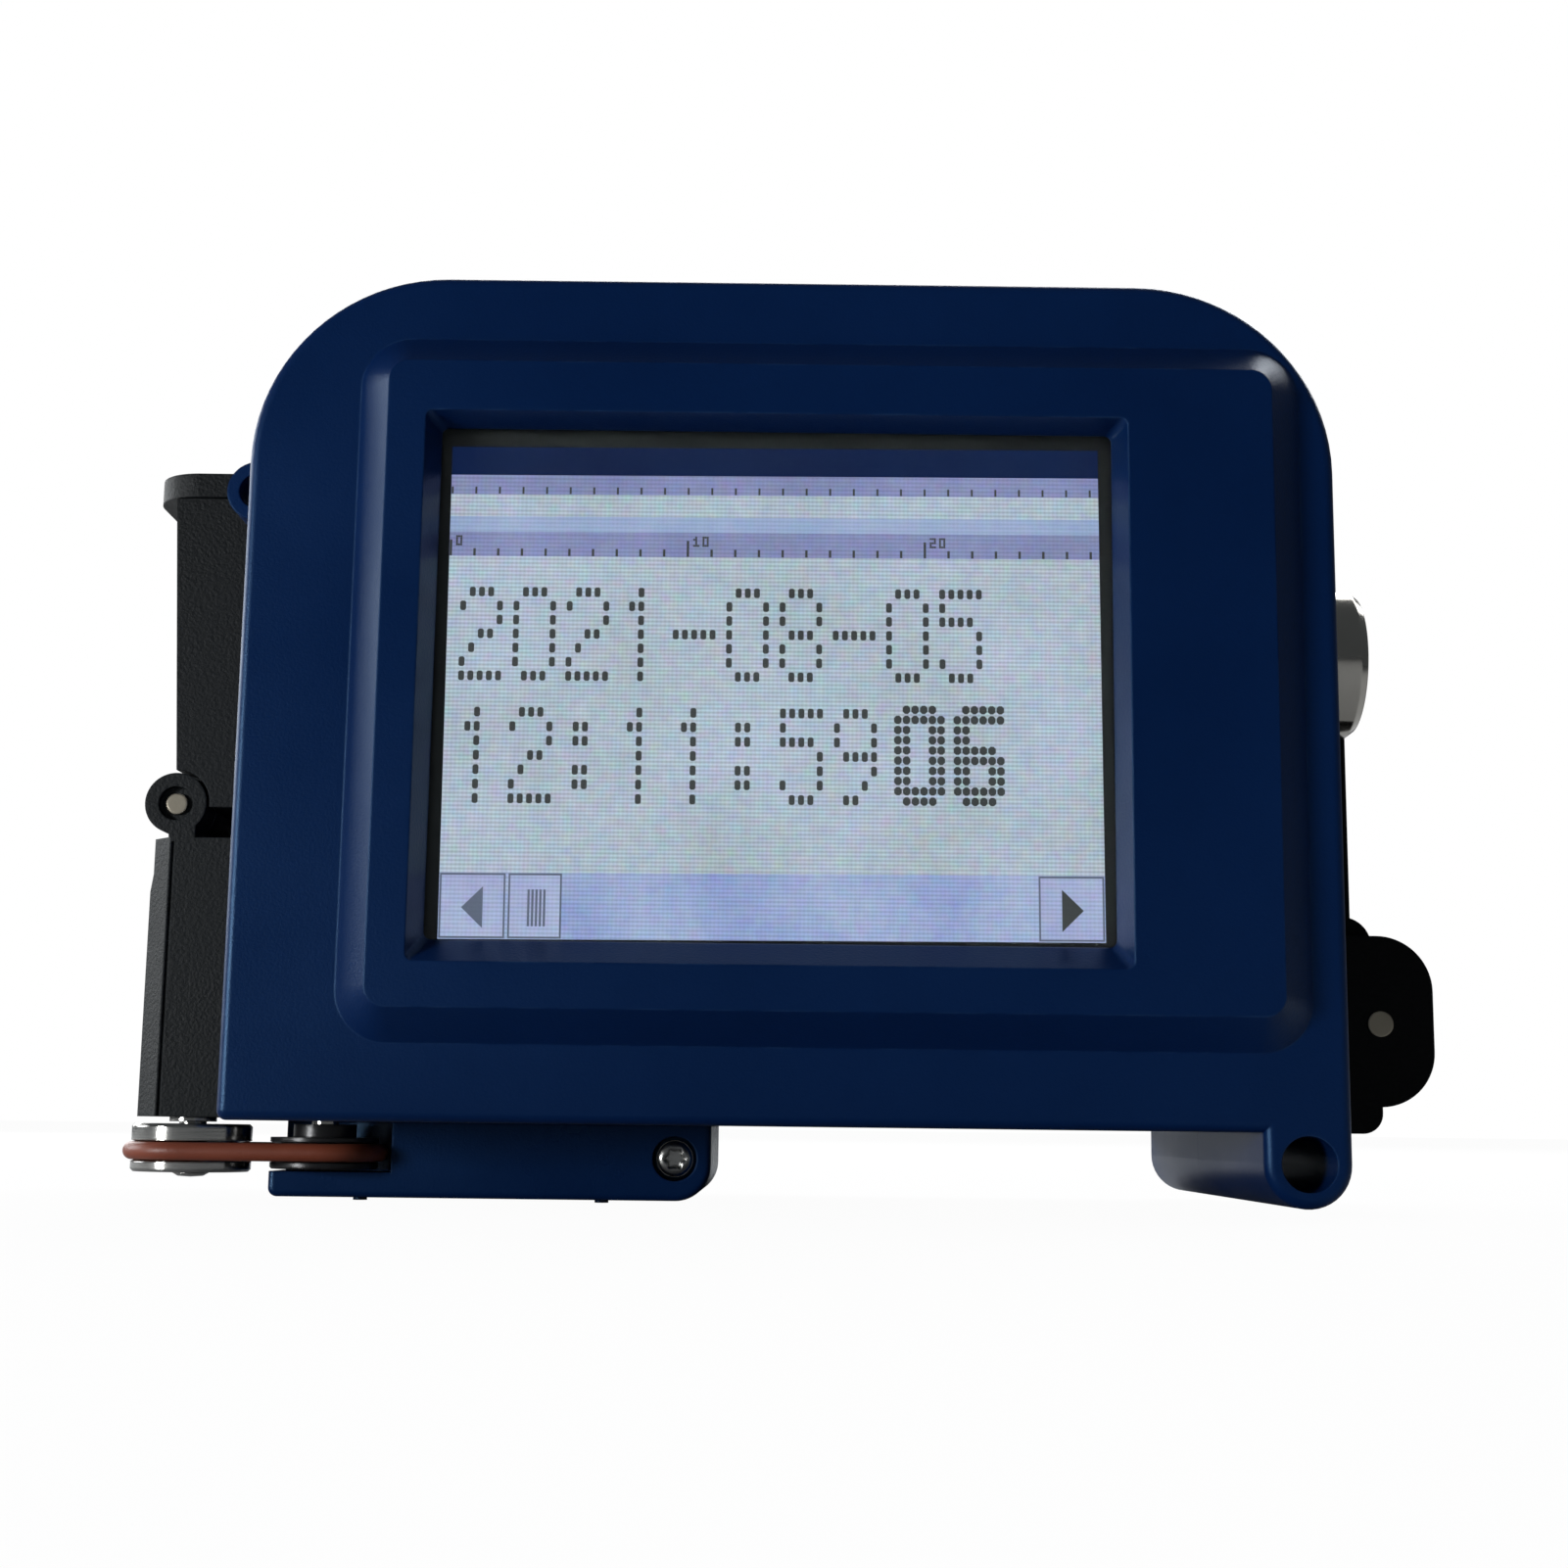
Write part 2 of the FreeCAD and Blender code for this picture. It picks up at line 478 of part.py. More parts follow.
# left, right, low, high and height of the processor, the memory, the driver chip, the plug of the
# cartridge ribbon and the plug of the display ribbon
CHIPS = ((-12, 4, 52, 68, 1.4), (10, 20, 55, 69, 1.1), (-34, -22, 56, 66, 1.6), (-41.5, -36, 41.6, 44.6, 1.2),
         (-16, 6, 24.4, 27.4, 1.4))
board_parts = grouped("board_parts", *[
    block(f"chip_{i}", (left, right),
          ("board_front + board_thick", f"board_front + board_thick + {tall}"), (low, high))
    for i, (left, right, low, high, tall) in enumerate(CHIPS)])
buzzer = less("buzzer",
              rod("buzzer_can", "Y", "buzzer_radius", "board_front + board_thick",
                  "board_front + board_thick + 5.5", ("buzzer_x", "buzzer_z")),
              rod("buzzer_mouth", "Y", "0.9", "board_front + board_thick + 4",
                  "board_front + board_thick + 7", ("buzzer_x", "buzzer_z")))
# ribbon from the foot of the display, under the plate, up to its plug on the board's back
RIBBON_SIDES = ("ribbon_left", "ribbon_right")
display_ribbon = joined(
    "display_ribbon",
    block("ribbon_down", RIBBON_SIDES, ("ribbon_front", "ribbon_front + ribbon_thick"),
          ("ribbon_low", "glass_low")),
    block("ribbon_across", RIBBON_SIDES, ("ribbon_front", "ribbon_back"),
          ("ribbon_low", "ribbon_low + ribbon_thick")),
    block("ribbon_up", RIBBON_SIDES, ("ribbon_back - ribbon_thick", "ribbon_back"),
          ("ribbon_low", "ribbon_high")))

# ---------------------------------------------------------------- ink cartridge and its bay

cartridge_body = new_body("cartridge_body")
prism(cartridge_body, "Pad", "XZ", "pen_front", "pen_back",
      rectangle("pen_left", "pen_right - 2", "pen_low", "pen_high", "1.2"))
prism(cartridge_body, "Pad", "XZ", "snout_front", "snout_back",
      rectangle("snout_left", "pen_left + 3", "pen_low", "snout_high", "0"))
prism(cartridge_body, "Pad", "YZ", "snout_left - 1.2", "snout_left + 1",
      rectangle("nozzle_y - nozzle_wide / 2 - 1.2", "nozzle_y + nozzle_wide / 2 + 1.2",
                "nozzle_z - nozzle_tall / 2 - 1.2", "nozzle_z + nozzle_tall / 2 + 1.2", "1.2"))
cartridge_lid = softened("cartridge_lid", block("lid_blank", ("pen_right - 2", "pen_right"),
                                                ("pen_front", "pen_back"), ("pen_low", "pen_high")),
                         "0.8", lambda edge: lies(edge, "X", "pen_right"))
nozzle_plate = block("nozzle_plate", ("snout_left - 1.4", "snout_left - 1.2"),
                     ("nozzle_y - nozzle_wide / 2", "nozzle_y + nozzle_wide / 2"),
                     ("nozzle_z - nozzle_tall / 2", "nozzle_z + nozzle_tall / 2"))
cartridge_pads = block("cartridge_pads", ("contact_left - 2.5", "contact_left + 13.5"),
                       ("pen_front - 0.15", "pen_front"), ("contact_low - 2.5", "contact_low + 21.5"))
cartridge_bay = less("cartridge_bay",
                     block("bay_outside", ("case_left + wall + 1.2", "pen_right + 1.9"),
                           ("pen_front - 2", "pen_back"), ("case_low + wall", "pen_high + 1.8")),
                     block("bay_inside", ("case_left", "pen_right + 0.2"),
                           ("pen_front - 0.2", "pen_back + 1"), ("pen_low - 0.1", "pen_high + 0.2")),
                     block("bay_window", ("contact_left - 3.5", "contact_left + 14.5"),
                           ("pen_front - 3", "pen_front"), ("contact_low - 3.5", "contact_low + 22.5")))
contact_board = block("contact_board", ("contact_left - 5", "contact_left + 15.5"),
                      ("pen_front - 3.4", "pen_front - 2.2"), ("contact_low - 4.5", "contact_low + 25.5"))
contact_pins = grouped("contact_pins", *[
    rod(f"contact_pin_{column}_{line}", "Y", "contact_radius", "pen_front - 2.2", "pen_front - 0.15",
        (f"contact_left + {column} * contact_pitch_x", f"contact_low + {line} * contact_pitch_z"))
    for column in range(4) for line in range(6)])
head_ribbon = block("head_ribbon", ("-41", "-36.5"), ("board_front + board_thick + 1.2", "pen_front - 3.4"),
                    ("42.4", "42.7"))

# ---------------------------------------------------------------- nose shroud, sensor and latch lever

print_nose = new_body("print_nose")
prism(print_nose, "Pad", "XZ", "nose_front", "nose_back",
      rectangle("nose_left", "case_left", "nose_low", "nose_high", "0"))
for low, high in (("nose_front", "nose_front + knuckle_width"), ("nose_back - knuckle_width", "nose_back")):
    prism(print_nose, "Pad", "XZ", low, high, circle("lever_x", "lever_z", "knuckle_radius"))
    prism(print_nose, "Pad", "XZ", low, high,
          rectangle("lever_x - 0.6", "lever_x + 2.4", "nose_high - 1", "lever_z - 2.2"))
    prism(print_nose, "Pocket", "XZ", low, high, circle("lever_x", "lever_z", "pin_radius"))
prism(print_nose, "Pocket", "XZ", "nose_front", "nose_front + 1",
      circle("lever_x", "lever_z", "pin_radius + 0.75"))
prism(print_nose, "Pocket", "XZ", "pen_front - 0.5", "nose_back",
      rectangle("nose_left + nose_wall", "case_left", "pen_low - 0.8", "snout_high + 0.4"))
prism(print_nose, "Pocket", "YZ", "nose_left", "nose_left + nose_wall",
      rectangle("nozzle_y - 9.4", "nozzle_y + 9.4", "nozzle_z - 8.6", "nozzle_z + 8.6", "1.5"))
prism(print_nose, "Pocket", "YZ", "nose_left", "case_left", circle("eyelet_y", "eyelet_z", "eyelet_radius"))
prism(print_nose, "Pocket", "XY", "nose_low", "nose_low + 8", circle("roller_x", "roller_y", "axle_radius"))
prism(print_nose, "Pocket", "XZ", "nose_front", "nose_back",
      polygon(("nose_left - 1", "nose_high + 0.5"), ("nose_left - 1", "nose_high - 6"),
              ("nose_left", "nose_high - 6"), ("nose_left + 0.4", "nose_high - 4"),
              ("nose_left + 0.4", "nose_high + 0.5")))
prism(print_nose, "Pocket", "XY", "nose_low", "nose_high",
      polygon(("nose_left - 1", "nose_front - 1"), ("nose_left + nose_bevel", "nose_front - 1"),
              ("nose_left + nose_bevel", "nose_front"), ("nose_left", "nose_front + nose_bevel"),
              ("nose_left - 1", "nose_front + nose_bevel")))
prism(print_nose, "Pocket", "XZ", "nose_front", "nose_front + 0.25",
      rectangle("nose_left + nose_bevel + 0.2", "nose_left + nose_bevel + 0.5",
                "nose_low", "nose_high - 0.5"))
prism(print_nose, "Pocket", "YZ", "case_left - 4", "case_left",
      *[circle(y, z, "screw_thread") for y, z in NOSE_HOLES])

nose_screws = grouped("nose_screws", *[
    joined(f"nose_screw_{i}",
           rod(f"nose_head_{i}", "X", "screw_head", "case_left + wall", "case_left + wall + 1.2", spot),
           rod(f"nose_shank_{i}", "X", "screw_thread", "case_left - 4", "case_left + wall", spot))
    for i, spot in enumerate(NOSE_HOLES)])
photo_sensor = rod("photo_sensor", "X", "eyelet_radius", "nose_left + 0.9", "-50", ("eyelet_y", "eyelet_z"))
sensor_lens = rod("sensor_lens", "X", "eyelet_radius - 0.8", "nose_left + 0.3", "nose_left + 0.9",
                  ("eyelet_y", "eyelet_z"))

latch_lever = new_body("latch_lever")
prism(latch_lever, "Pad", "XZ", "nose_front", "nose_back",
      polygon(("lever_right", "lever_z - 0.4"), ("lever_right", "lever_high"), ("lever_x - 2", "lever_high"),
              ("lever_x + 0.1", "lever_z - 0.4")))
dress(latch_lever, "Fillet", "Radius", "3.5",
      lambda edge: lies(edge, "X", "lever_right") and lies(edge, "Z", "lever_z - 0.4"))
# the lever ends in a rounded finger lip that stands out to the left and a little to the front
prism(latch_lever, "Pad", "XY", "lever_high - lip_thick", "lever_high",
      ring(("lip_left", "lip_front", "lip_corner"), ("lever_right", "lip_front", "0"),
           ("lever_right", "nose_back", "0"), ("lip_left", "nose_back", "lip_corner")))
prism(latch_lever, "Pocket", "YZ", "lever_x + 2.2", "lever_right",
      rectangle("nose_front + lever_wall", "nose_back - lever_wall",
                "lever_z + 5.2", "lever_high - lever_wall"))
prism(latch_lever, "Pad", "XZ", "nose_front + knuckle_width + gap", "nose_back - knuckle_width - gap",
      circle("lever_x", "lever_z", "knuckle_radius"))
for low, high in (("nose_front", "nose_front + knuckle_width + gap"),
                  ("nose_back - knuckle_width - gap", "nose_back")):
    prism(latch_lever, "Pocket", "XZ", low, high, circle("lever_x", "lever_z", "knuckle_radius + gap"))
prism(latch_lever, "Pocket", "XZ", "nose_front", "nose_back",
      circle("lever_x", "lever_z", "pin_radius + running"))
prism(latch_lever, "Pad", "YZ", "lever_x + 2.2", "case_left + 1",
      rectangle("pad_front - 0.5", "pad_back + 0.5", "pad_low - 0.5", "pad_high + 0.5", "1"))
lever_pin = rod("lever_pin", "Y", "pin_radius", "nose_front + 0.5", "nose_back - 0.3", ("lever_x", "lever_z"))
lever_pad = softened("lever_pad", block("pad_blank", ("case_left + 1", "pen_left - 0.3"),
                                        ("pad_front", "pad_back"), ("pad_low", "pad_high")),
                     "0.8", lambda edge: lies(edge, "X", "pen_left - 0.3"))

# ---------------------------------------------------------------- measuring roller, belt and encoder

measuring_roller = new_body("measuring_roller")
lathe(measuring_roller, "Z", ("roller_x", "roller_y", "0"),
      ("bearing_radius", "roller_low"), ("roller_radius - 0.3", "roller_low"),
      ("roller_radius", "roller_low + 0.3"), ("roller_radius", "belt_z - groove_mouth"),
      ("belt_pitch_roller - belt_radius - running", "belt_z - groove_floor"),
      ("belt_pitch_roller - belt_radius - running", "belt_z + groove_floor"),
      ("roller_radius", "belt_z + groove_mouth"),
      ("roller_radius", "roller_high - 0.3"), ("roller_radius - 0.3", "roller_high"),
      ("bearing_radius", "roller_high"))
BEARING_SPANS = (("roller_low + 0.1", "roller_low + 2.6"), ("roller_high - 2.6", "roller_high - 0.1"))
roller_bearings = grouped("roller_bearings", *[
    tube(f"roller_bearing_{i}", "Z", "bearing_radius", "axle_radius + running", low, high,
         ("roller_x", "roller_y"))
    for i, (low, high) in enumerate(BEARING_SPANS)])
roller_axle = new_body("roller_axle")
lathe(roller_axle, "Z", ("roller_x", "roller_y", "0"),
      ("0", "roller_low - 0.6"), ("1.4", "roller_low - 0.5"), ("2.0", "roller_low - 0.15"),
      ("axle_radius", "roller_low - 0.15"), ("axle_radius", "roller_high + 0.25"),
      ("2.6", "roller_high + 0.25"), ("2.6", "nose_low"), ("axle_radius", "nose_low"),
      ("axle_radius", "nose_low + 8"), ("0", "nose_low + 8"))

encoder_pulley = new_body("encoder_pulley")
lathe(encoder_pulley, "Z", ("pulley_x", "roller_y", "0"),
      ("axle_radius", "pulley_low"), ("pulley_radius - 0.2", "pulley_low"),
      ("pulley_radius", "pulley_low + 0.2"), ("pulley_radius", "belt_z - groove_mouth"),
      ("belt_pitch_pulley - belt_radius - running", "belt_z - groove_floor"),
      ("belt_pitch_pulley - belt_radius - running", "belt_z + groove_floor"),
      ("pulley_radius", "belt_z + groove_mouth"), ("pulley_radius", "pulley_high"),
      ("hub_radius", "pulley_high"), ("hub_radius", "case_low - gap"), ("axle_radius", "case_low - gap"))
encoder_shaft = rod("encoder_shaft", "Z", "axle_radius", "pulley_low + 0.3", "case_low + 6.6",
                    ("pulley_x", "roller_y"))
encoder_bushes = grouped(
    "encoder_bushes",
    joined("lower_bush",
           tube("lower_sleeve", "Z", "bush_radius", "axle_radius + running", "case_low", "case_low + wall",
                ("pulley_x", "roller_y")),
           tube("lower_flange", "Z", "bush_radius + 0.9", "axle_radius + running", "case_low + wall",
                "case_low + wall + 0.8", ("pulley_x", "roller_y"))),
    tube("upper_bush", "Z", "bush_radius", "axle_radius + running", "case_low + wall + 1.2",
         "case_low + wall + 3", ("pulley_x", "roller_y")))
encoder_magnet = rod("encoder_magnet", "Z", "axle_radius * 2", "case_low + 6.6", "case_low + 9.1",
                     ("pulley_x", "roller_y"))
encoder_board = joined("encoder_board",
                       block("encoder_plate", ("pulley_x - 4", "pulley_x + 9"),
                             ("roller_y - 7.6", "roller_y + 6.6"), ("case_low + 10.6", "case_low + 11.8")),
                       block("encoder_chip", ("pulley_x - 2.5", "pulley_x + 2.5"),
                             ("roller_y - 2.5", "roller_y + 2.5"), ("case_low + 9.7", "case_low + 10.6")))


# the belt is an O-ring pulled into a stadium: two half rings and two straight runs
def belt_shape():
    radius, height = number("belt_radius"), number("belt_z")
    left, right, middle = number("roller_x"), number("pulley_x"), number("roller_y")
    big, small = number("belt_pitch_roller"), number("belt_pitch_pulley")
    lean = (big - small) / (right - left)
    side = (1 - lean * lean) ** 0.5

    def touch(x, pitch, sense):
        return FreeCAD.Vector(x + pitch * lean, middle + sense * pitch * side, height)
    path = Part.Wire([
        Part.LineSegment(touch(left, big, -1), touch(right, small, -1)).toShape(),
        Part.Arc(touch(right, small, -1), FreeCAD.Vector(right + small, middle, height),
                 touch(right, small, 1)).toShape(),
        Part.LineSegment(touch(right, small, 1), touch(left, big, 1)).toShape(),
        Part.Arc(touch(left, big, 1), FreeCAD.Vector(left - big, middle, height),
                 touch(left, big, -1)).toShape()])
    start = touch(left, big, -1)
    ahead = (touch(right, small, -1) - start).normalize()
    section = Part.Wire([Part.Circle(start, ahead, radius).toShape()])
    return path.makePipeShell([section], True, False)


drive_belt = doc.addObject("Part::Feature", "drive_belt")
drive_belt.Shape = belt_shape()

encoder_bracket = new_body("encoder_bracket")
prism(encoder_bracket, "Pad", "XZ", "bracket_front", "bracket_back",
      ring(("bracket_left", "bracket_low", "foot_corner"), ("bracket_right", "bracket_low", "bracket_corner"),
           ("bracket_right", "case_low", "0"), ("bracket_left", "case_low", "0")))
dress(encoder_bracket, "Fillet", "Radius", "0.7",
      lambda edge: lies(edge, "Y", "bracket_front") and not lies(edge, "Z", "case_low"))
prism(encoder_bracket, "Pocket", "XY", "pocket_floor", "case_low",
      circle("pulley_x", "roller_y", "pocket_radius"))
prism(encoder_bracket, "Pocket", "XY", "pocket_floor", "case_low",
      rectangle("bracket_left - 2", "pulley_x", "bracket_front - 2", "roller_y + 8.1"))
prism(encoder_bracket, "Pad", "XY", "0", "bracket_low", circle("pulley_x + 3", "pip_y", "pip_radius"),
      circle("-22", "pip_y", "pip_radius"))
prism(encoder_bracket, "Pocket", "XZ", "bracket_front", "bracket_front + 3.2",
      circle("clamp_x", "clamp_z", "clamp_head + 0.45"))
prism(encoder_bracket, "Pocket", "XZ", "bracket_front + 3", "bracket_back",
      circle("clamp_x", "clamp_z", "clamp_thread"))
BRACKET_HOLES = (("bracket_screw_left", "bracket_screw_y"), ("bracket_screw_right", "bracket_screw_y"))
prism(encoder_bracket, "Pocket", "XY", "bracket_low", "bracket_low + 2.6",
      *[circle(x, y, "bracket_thread * 2") for x, y in BRACKET_HOLES])
prism(encoder_bracket, "Pocket", "XY", "bracket_low + 2.5", "case_low",
      *[circle(x, y, "bracket_thread") for x, y in BRACKET_HOLES])
clamp_screw = joined("clamp_screw",
                     rod("clamp_button", "Y", "clamp_head", "bracket_front + 1", "bracket_front + 3.2",
                         ("clamp_x", "clamp_z")),
                     rod("clamp_shank", "Y", "clamp_thread", "bracket_front + 3.2", "bracket_back - 4",
                         ("clamp_x", "clamp_z")))
bracket_screws = grouped("bracket_screws", *[
    joined(f"bracket_screw_{i}",
           rod(f"bracket_head_{i}", "Z", "bracket_thread + 1", "bracket_low + 0.9", "bracket_low + 2.6",
               spot),
           rod(f"bracket_shank_{i}", "Z", "bracket_thread", "bracket_low + 2.6", "case_low", spot))
    for i, spot in enumerate(BRACKET_HOLES)])

# ---------------------------------------------------------------- trigger button

button_bezel = new_body("button_bezel")
lathe(button_bezel, "X", ("0", "button_y", "button_z"),
      ("case_right - 9", "cap_radius + running"), ("case_right - 9", "barrel_radius - 0.4"),
      ("case_right - wall", "barrel_radius - 0.4"), ("case_right - wall", "barrel_radius"),
      ("case_right", "barrel_radius"),
      ("case_right", "bezel_radius"), ("bezel_right - 0.9", "bezel_radius"),
      ("bezel_right", "bezel_radius - 0.7"), ("bezel_right", "cap_radius + 0.9"),
      ("bezel_right - 0.5", "cap_radius + running"))
button_cap = new_body("button_cap")
lathe(button_cap, "X", ("0", "button_y", "button_z"),
      ("case_right - 7", "0"), ("case_right - 7", "stem_radius"), ("case_right - 3", "stem_radius"),
      ("case_right - 3", "cap_radius"), ("bezel_right - 0.2", "cap_radius"),
      ("bezel_right + 0.2", "cap_radius - 0.5"), ("bezel_right + 0.6", "3"), ("bezel_right + 0.7", "0"))
button_nut = new_body("button_nut")
prism(button_nut, "Pad", "YZ", "case_right - wall - nut_thick", "case_right - wall",
      circle("button_y", "button_z", "nut_radius"))
prism(button_nut, "Pocket", "YZ", "case_right - wall - nut_thick", "case_right - wall",
      circle("button_y", "button_z", "barrel_radius - 0.4"))
# the switch barrel has a ring-shaped recess that the spring sinks into
switch_barrel = less("switch_barrel",
                     rod("switch_blank", "X", "barrel_radius - 0.4", "case_right - 17", "case_right - 9",
                         ("button_y", "button_z")),
                     tube("switch_recess", "X", "cap_radius - 1.4", "cap_radius - 3.0", "case_right - 10.9",
                          "case_right - 8", ("button_y", "button_z")))
button_switch = joined("button_switch", switch_barrel,
                       *[rod(f"switch_terminal_{i}", "X", "0.7", "case_right - 21", "case_right - 17",
                             (f"button_y {side} terminal_y", "button_z")) for i, side in enumerate("-+")])

SPRING_TURNS = 5
SPRING_CHORDS = 16      # straight pieces of wire in one turn
SPRING_WIRE = 0.6


def spring_shape():
    """A compression spring between the floor of the switch's recess and the cap's shoulder."""
    low, high, radius = number("case_right - 8.7"), number("case_right - 3.3"), number("cap_radius - 2.2")
    steps = SPRING_TURNS * SPRING_CHORDS
    points = [FreeCAD.Vector(low + (high - low) * step / steps,
                             number("button_y") + radius * math.cos(2 * math.pi * step / SPRING_CHORDS),
                             number("button_z") + radius * math.sin(2 * math.pi * step / SPRING_CHORDS))
              for step in range(steps + 1)]
    section = Part.Wire([Part.Circle(points[0], points[1] - points[0], SPRING_WIRE / 2).toShape()])
    return Part.makePolygon(points).makePipeShell([section], True, False, 1)


button_spring = doc.addObject("Part::Feature", "button_spring")
button_spring.Shape = spring_shape()

# ---------------------------------------------------------------- battery, door and door frame

battery_tray = less("battery_tray",
                    block("tray_outside", ("pack_left - 2.2", "case_right - wall"),
                          ("pack_front - tray_gap - tray_wall", "pack_back + tray_gap + tray_wall"),
                          ("pack_low - tray_gap - tray_wall", "pack_high + tray_gap + tray_wall")),
                    block("tray_inside", ("pack_left - 0.9", "case_right"),
                          ("pack_front - tray_gap", "pack_back + tray_gap"),
                          ("pack_low - tray_gap", "pack_high + tray_gap")))
battery_pack = softened("battery_pack", block("pack_blank", ("pack_left", "pack_right"),
                                              ("pack_front", "pack_back"), ("pack_low", "pack_high")),
                        "2.0", lambda edge: spans(edge, "X")[1] - spans(edge, "X")[0] > 5)
battery_contacts = grouped("battery_contacts", *[
    block(f"battery_contact_{i}", ("pack_left - 0.9", "pack_left"), ("12", "20"), (f"{low}", f"{low} + 4"))
    for i, low in enumerate((24, 35, 46))])

door_frame = new_body("door_frame")
prism(door_frame, "Pad", "YZ", "case_right", "frame_right",
      rectangle("frame_front", "frame_back", "case_low", "frame_high", "1.5"))
prism(door_frame, "Pocket", "YZ", "case_right", "frame_right",
      rectangle("pack_front - 0.6", "pack_back + 0.6", "pack_low - 0.6", "pack_high + 0.6", "1.5"))
prism(door_frame, "Pocket", "YZ", "case_right", "case_right + 1.5",
      *[circle(y, z, "screw_thread - 0.1") for y, z in FRAME_HOLES])
for low, high in (("frame_front", "frame_front + ear_thick"), ("frame_back - ear_thick", "frame_back")):
    prism(door_frame, "Pad", "XZ", low, high,
          ring(("frame_right - 1", "ear_low", "0"), ("ear_right", "ear_low", "ear_corner"),
               ("ear_right", "ear_high", "ear_corner"), ("frame_right - 1", "ear_high", "0")))
    prism(door_frame, "Pocket", "XZ", low, high, circle("hinge_x", "hinge_z", "hinge_radius"))
    prism(door_frame, "Pad", "XZ", low, high,
          ring(("frame_right - 1", "case_low", "0"), ("hinge_x", "case_low", "2.4"),
               ("hinge_x", "ear_low + 1", "0"), ("frame_right - 1", "ear_low + 1", "0")))

battery_door = new_body("battery_door")
prism(battery_door, "Pad", "XZ", "frame_front + ear_thick + gap", "frame_back - ear_thick - gap",
      rectangle("frame_right + 0.3", "door_right", "hinge_z", "door_high", "0", "2.5"))
prism(battery_door, "Pad", "XZ", "frame_front + ear_thick + gap", "frame_back - ear_thick - gap",
      ring(("frame_right + 0.3", "hinge_z", "0"), ("hinge_x", "hinge_z", "0"), ("hinge_x", "34.6", "3.5"),
           ("frame_right + 0.3", "34.6", "0")))
prism(battery_door, "Pad", "XZ", "frame_front + ear_thick + gap", "frame_back - ear_thick - gap",
      circle("hinge_x", "hinge_z", "door_hub"))
prism(battery_door, "Pocket", "XZ", "frame_front", "frame_back",
      circle("hinge_x", "hinge_z", "hinge_radius + running"))
door_pin = rod("door_pin", "Y", "hinge_radius", "frame_front - 0.2", "frame_back", ("hinge_x", "hinge_z"))
frame_screws = grouped("frame_screws", *[
    joined(f"frame_screw_{i}",
           rod(f"frame_head_{i}", "X", "screw_head", "case_right - wall - 1.3", "case_right - wall", spot),
           rod(f"frame_shank_{i}", "X", "screw_thread - 0.1", "case_right - wall", "case_right + 1.5", spot))
    for i, spot in enumerate(FRAME_HOLES)])

# ---------------------------------------------------------------- rear hatch

rear_hatch = new_body("rear_hatch")
prism(rear_hatch, "Pad", "XY", "hatch_low", "hatch_high",
      rectangle("hatch_left", "hatch_x - hatch_barrel - gap",
                "case_back + 0.3", "case_back + 0.3 + hatch_thick"))
prism(rear_hatch, "Pad", "XY", "hatch_low + knuckle_tall + 0.3", "hatch_high - knuckle_tall - 0.3",
      rectangle("hatch_x - hatch_barrel - 1", "hatch_x", "case_back + 0.3", "case_back + 0.3 + hatch_thick"))
prism(rear_hatch, "Pad", "XY", "hatch_low", "nose_high",
      rectangle("hatch_left", "case_left - 0.4", "nose_back + 0.3", "case_back + 1"))
prism(rear_hatch, "Pad", "XY", "hatch_low", "nose_high",
      rectangle("nose_left", "case_left - 0.4", "nose_back + 0.3", "nose_back + 2.3"))
prism(rear_hatch, "Pad", "XY", "hatch_low + knuckle_tall + 0.3", "hatch_high - knuckle_tall - 0.3",
      circle("hatch_x", "hatch_y", "hatch_barrel"))
prism(rear_hatch, "Pocket", "XY", "hatch_low", "hatch_high",
      circle("hatch_x", "hatch_y", "hatch_pin + running"))
# finger recess near the free edge
prism(rear_hatch, "Pocket", "XZ", "case_back + 1.2", "case_back + 3",
      rectangle("hatch_left + 6.2", "hatch_left + 14.2", "38", "52", "2"))
hatch_hinge_pin = rod("hatch_hinge_pin", "Z", "hatch_pin", "hatch_low", "hatch_high", ("hatch_x", "hatch_y"))

# ---------------------------------------------------------------- sockets on the back

socket_board = block("socket_board", ("data_x - 12", "power_x + power_radius"),
                     ("case_back - 12", "case_back - 10.6"), ("socket_z - 11.8", "socket_z + 7.2"))
data_socket = less("data_socket",
                   block("data_shell", ("data_x - data_wide / 2", "data_x + data_wide / 2"),
                         ("case_back - 10.6", "case_back - 0.4"),
                         ("socket_z - data_tall / 2", "socket_z + data_tall / 2")),
                   block("data_mouth", ("data_x - data_wide / 2 + 0.6", "data_x + data_wide / 2 - 0.6"),
                         ("case_back - 8", "case_back + 1"),
                         ("socket_z - data_tall / 2 + 0.6", "socket_z + data_tall / 2 - 0.6")))
power_socket = less("power_socket",
                    rod("power_barrel", "Y", "power_radius", "case_back - 10.6", "case_back - 0.3",
                        ("power_x", "socket_z")),
                    rod("power_mouth", "Y", "power_bore", "case_back - 8", "case_back + 1",
                        ("power_x", "socket_z")))

# ---------------------------------------------------------------- check and write

SUB_PARTS = [
    front_cover, rear_cover, cover_screws, touch_panel, display_module, display_plate, display_spacers,
    display_screws, main_board, board_spacers, board_screws, board_parts, buzzer, display_ribbon,
    cartridge_body, cartridge_lid, nozzle_plate, cartridge_pads, cartridge_bay, contact_board, contact_pins,
    head_ribbon, print_nose, nose_screws, photo_sensor, sensor_lens, latch_lever, lever_pin, lever_pad,
    measuring_roller, roller_bearings, roller_axle, encoder_pulley, encoder_shaft, encoder_bushes,
    encoder_magnet, encoder_board, drive_belt, encoder_bracket, clamp_screw, bracket_screws, button_bezel,
    button_cap, button_nut, button_switch, button_spring, battery_tray, battery_pack, battery_contacts,
    door_frame, battery_door, door_pin, frame_screws, rear_hatch, hatch_hinge_pin, socket_board,
    data_socket, power_socket,
]
doc.recompute()
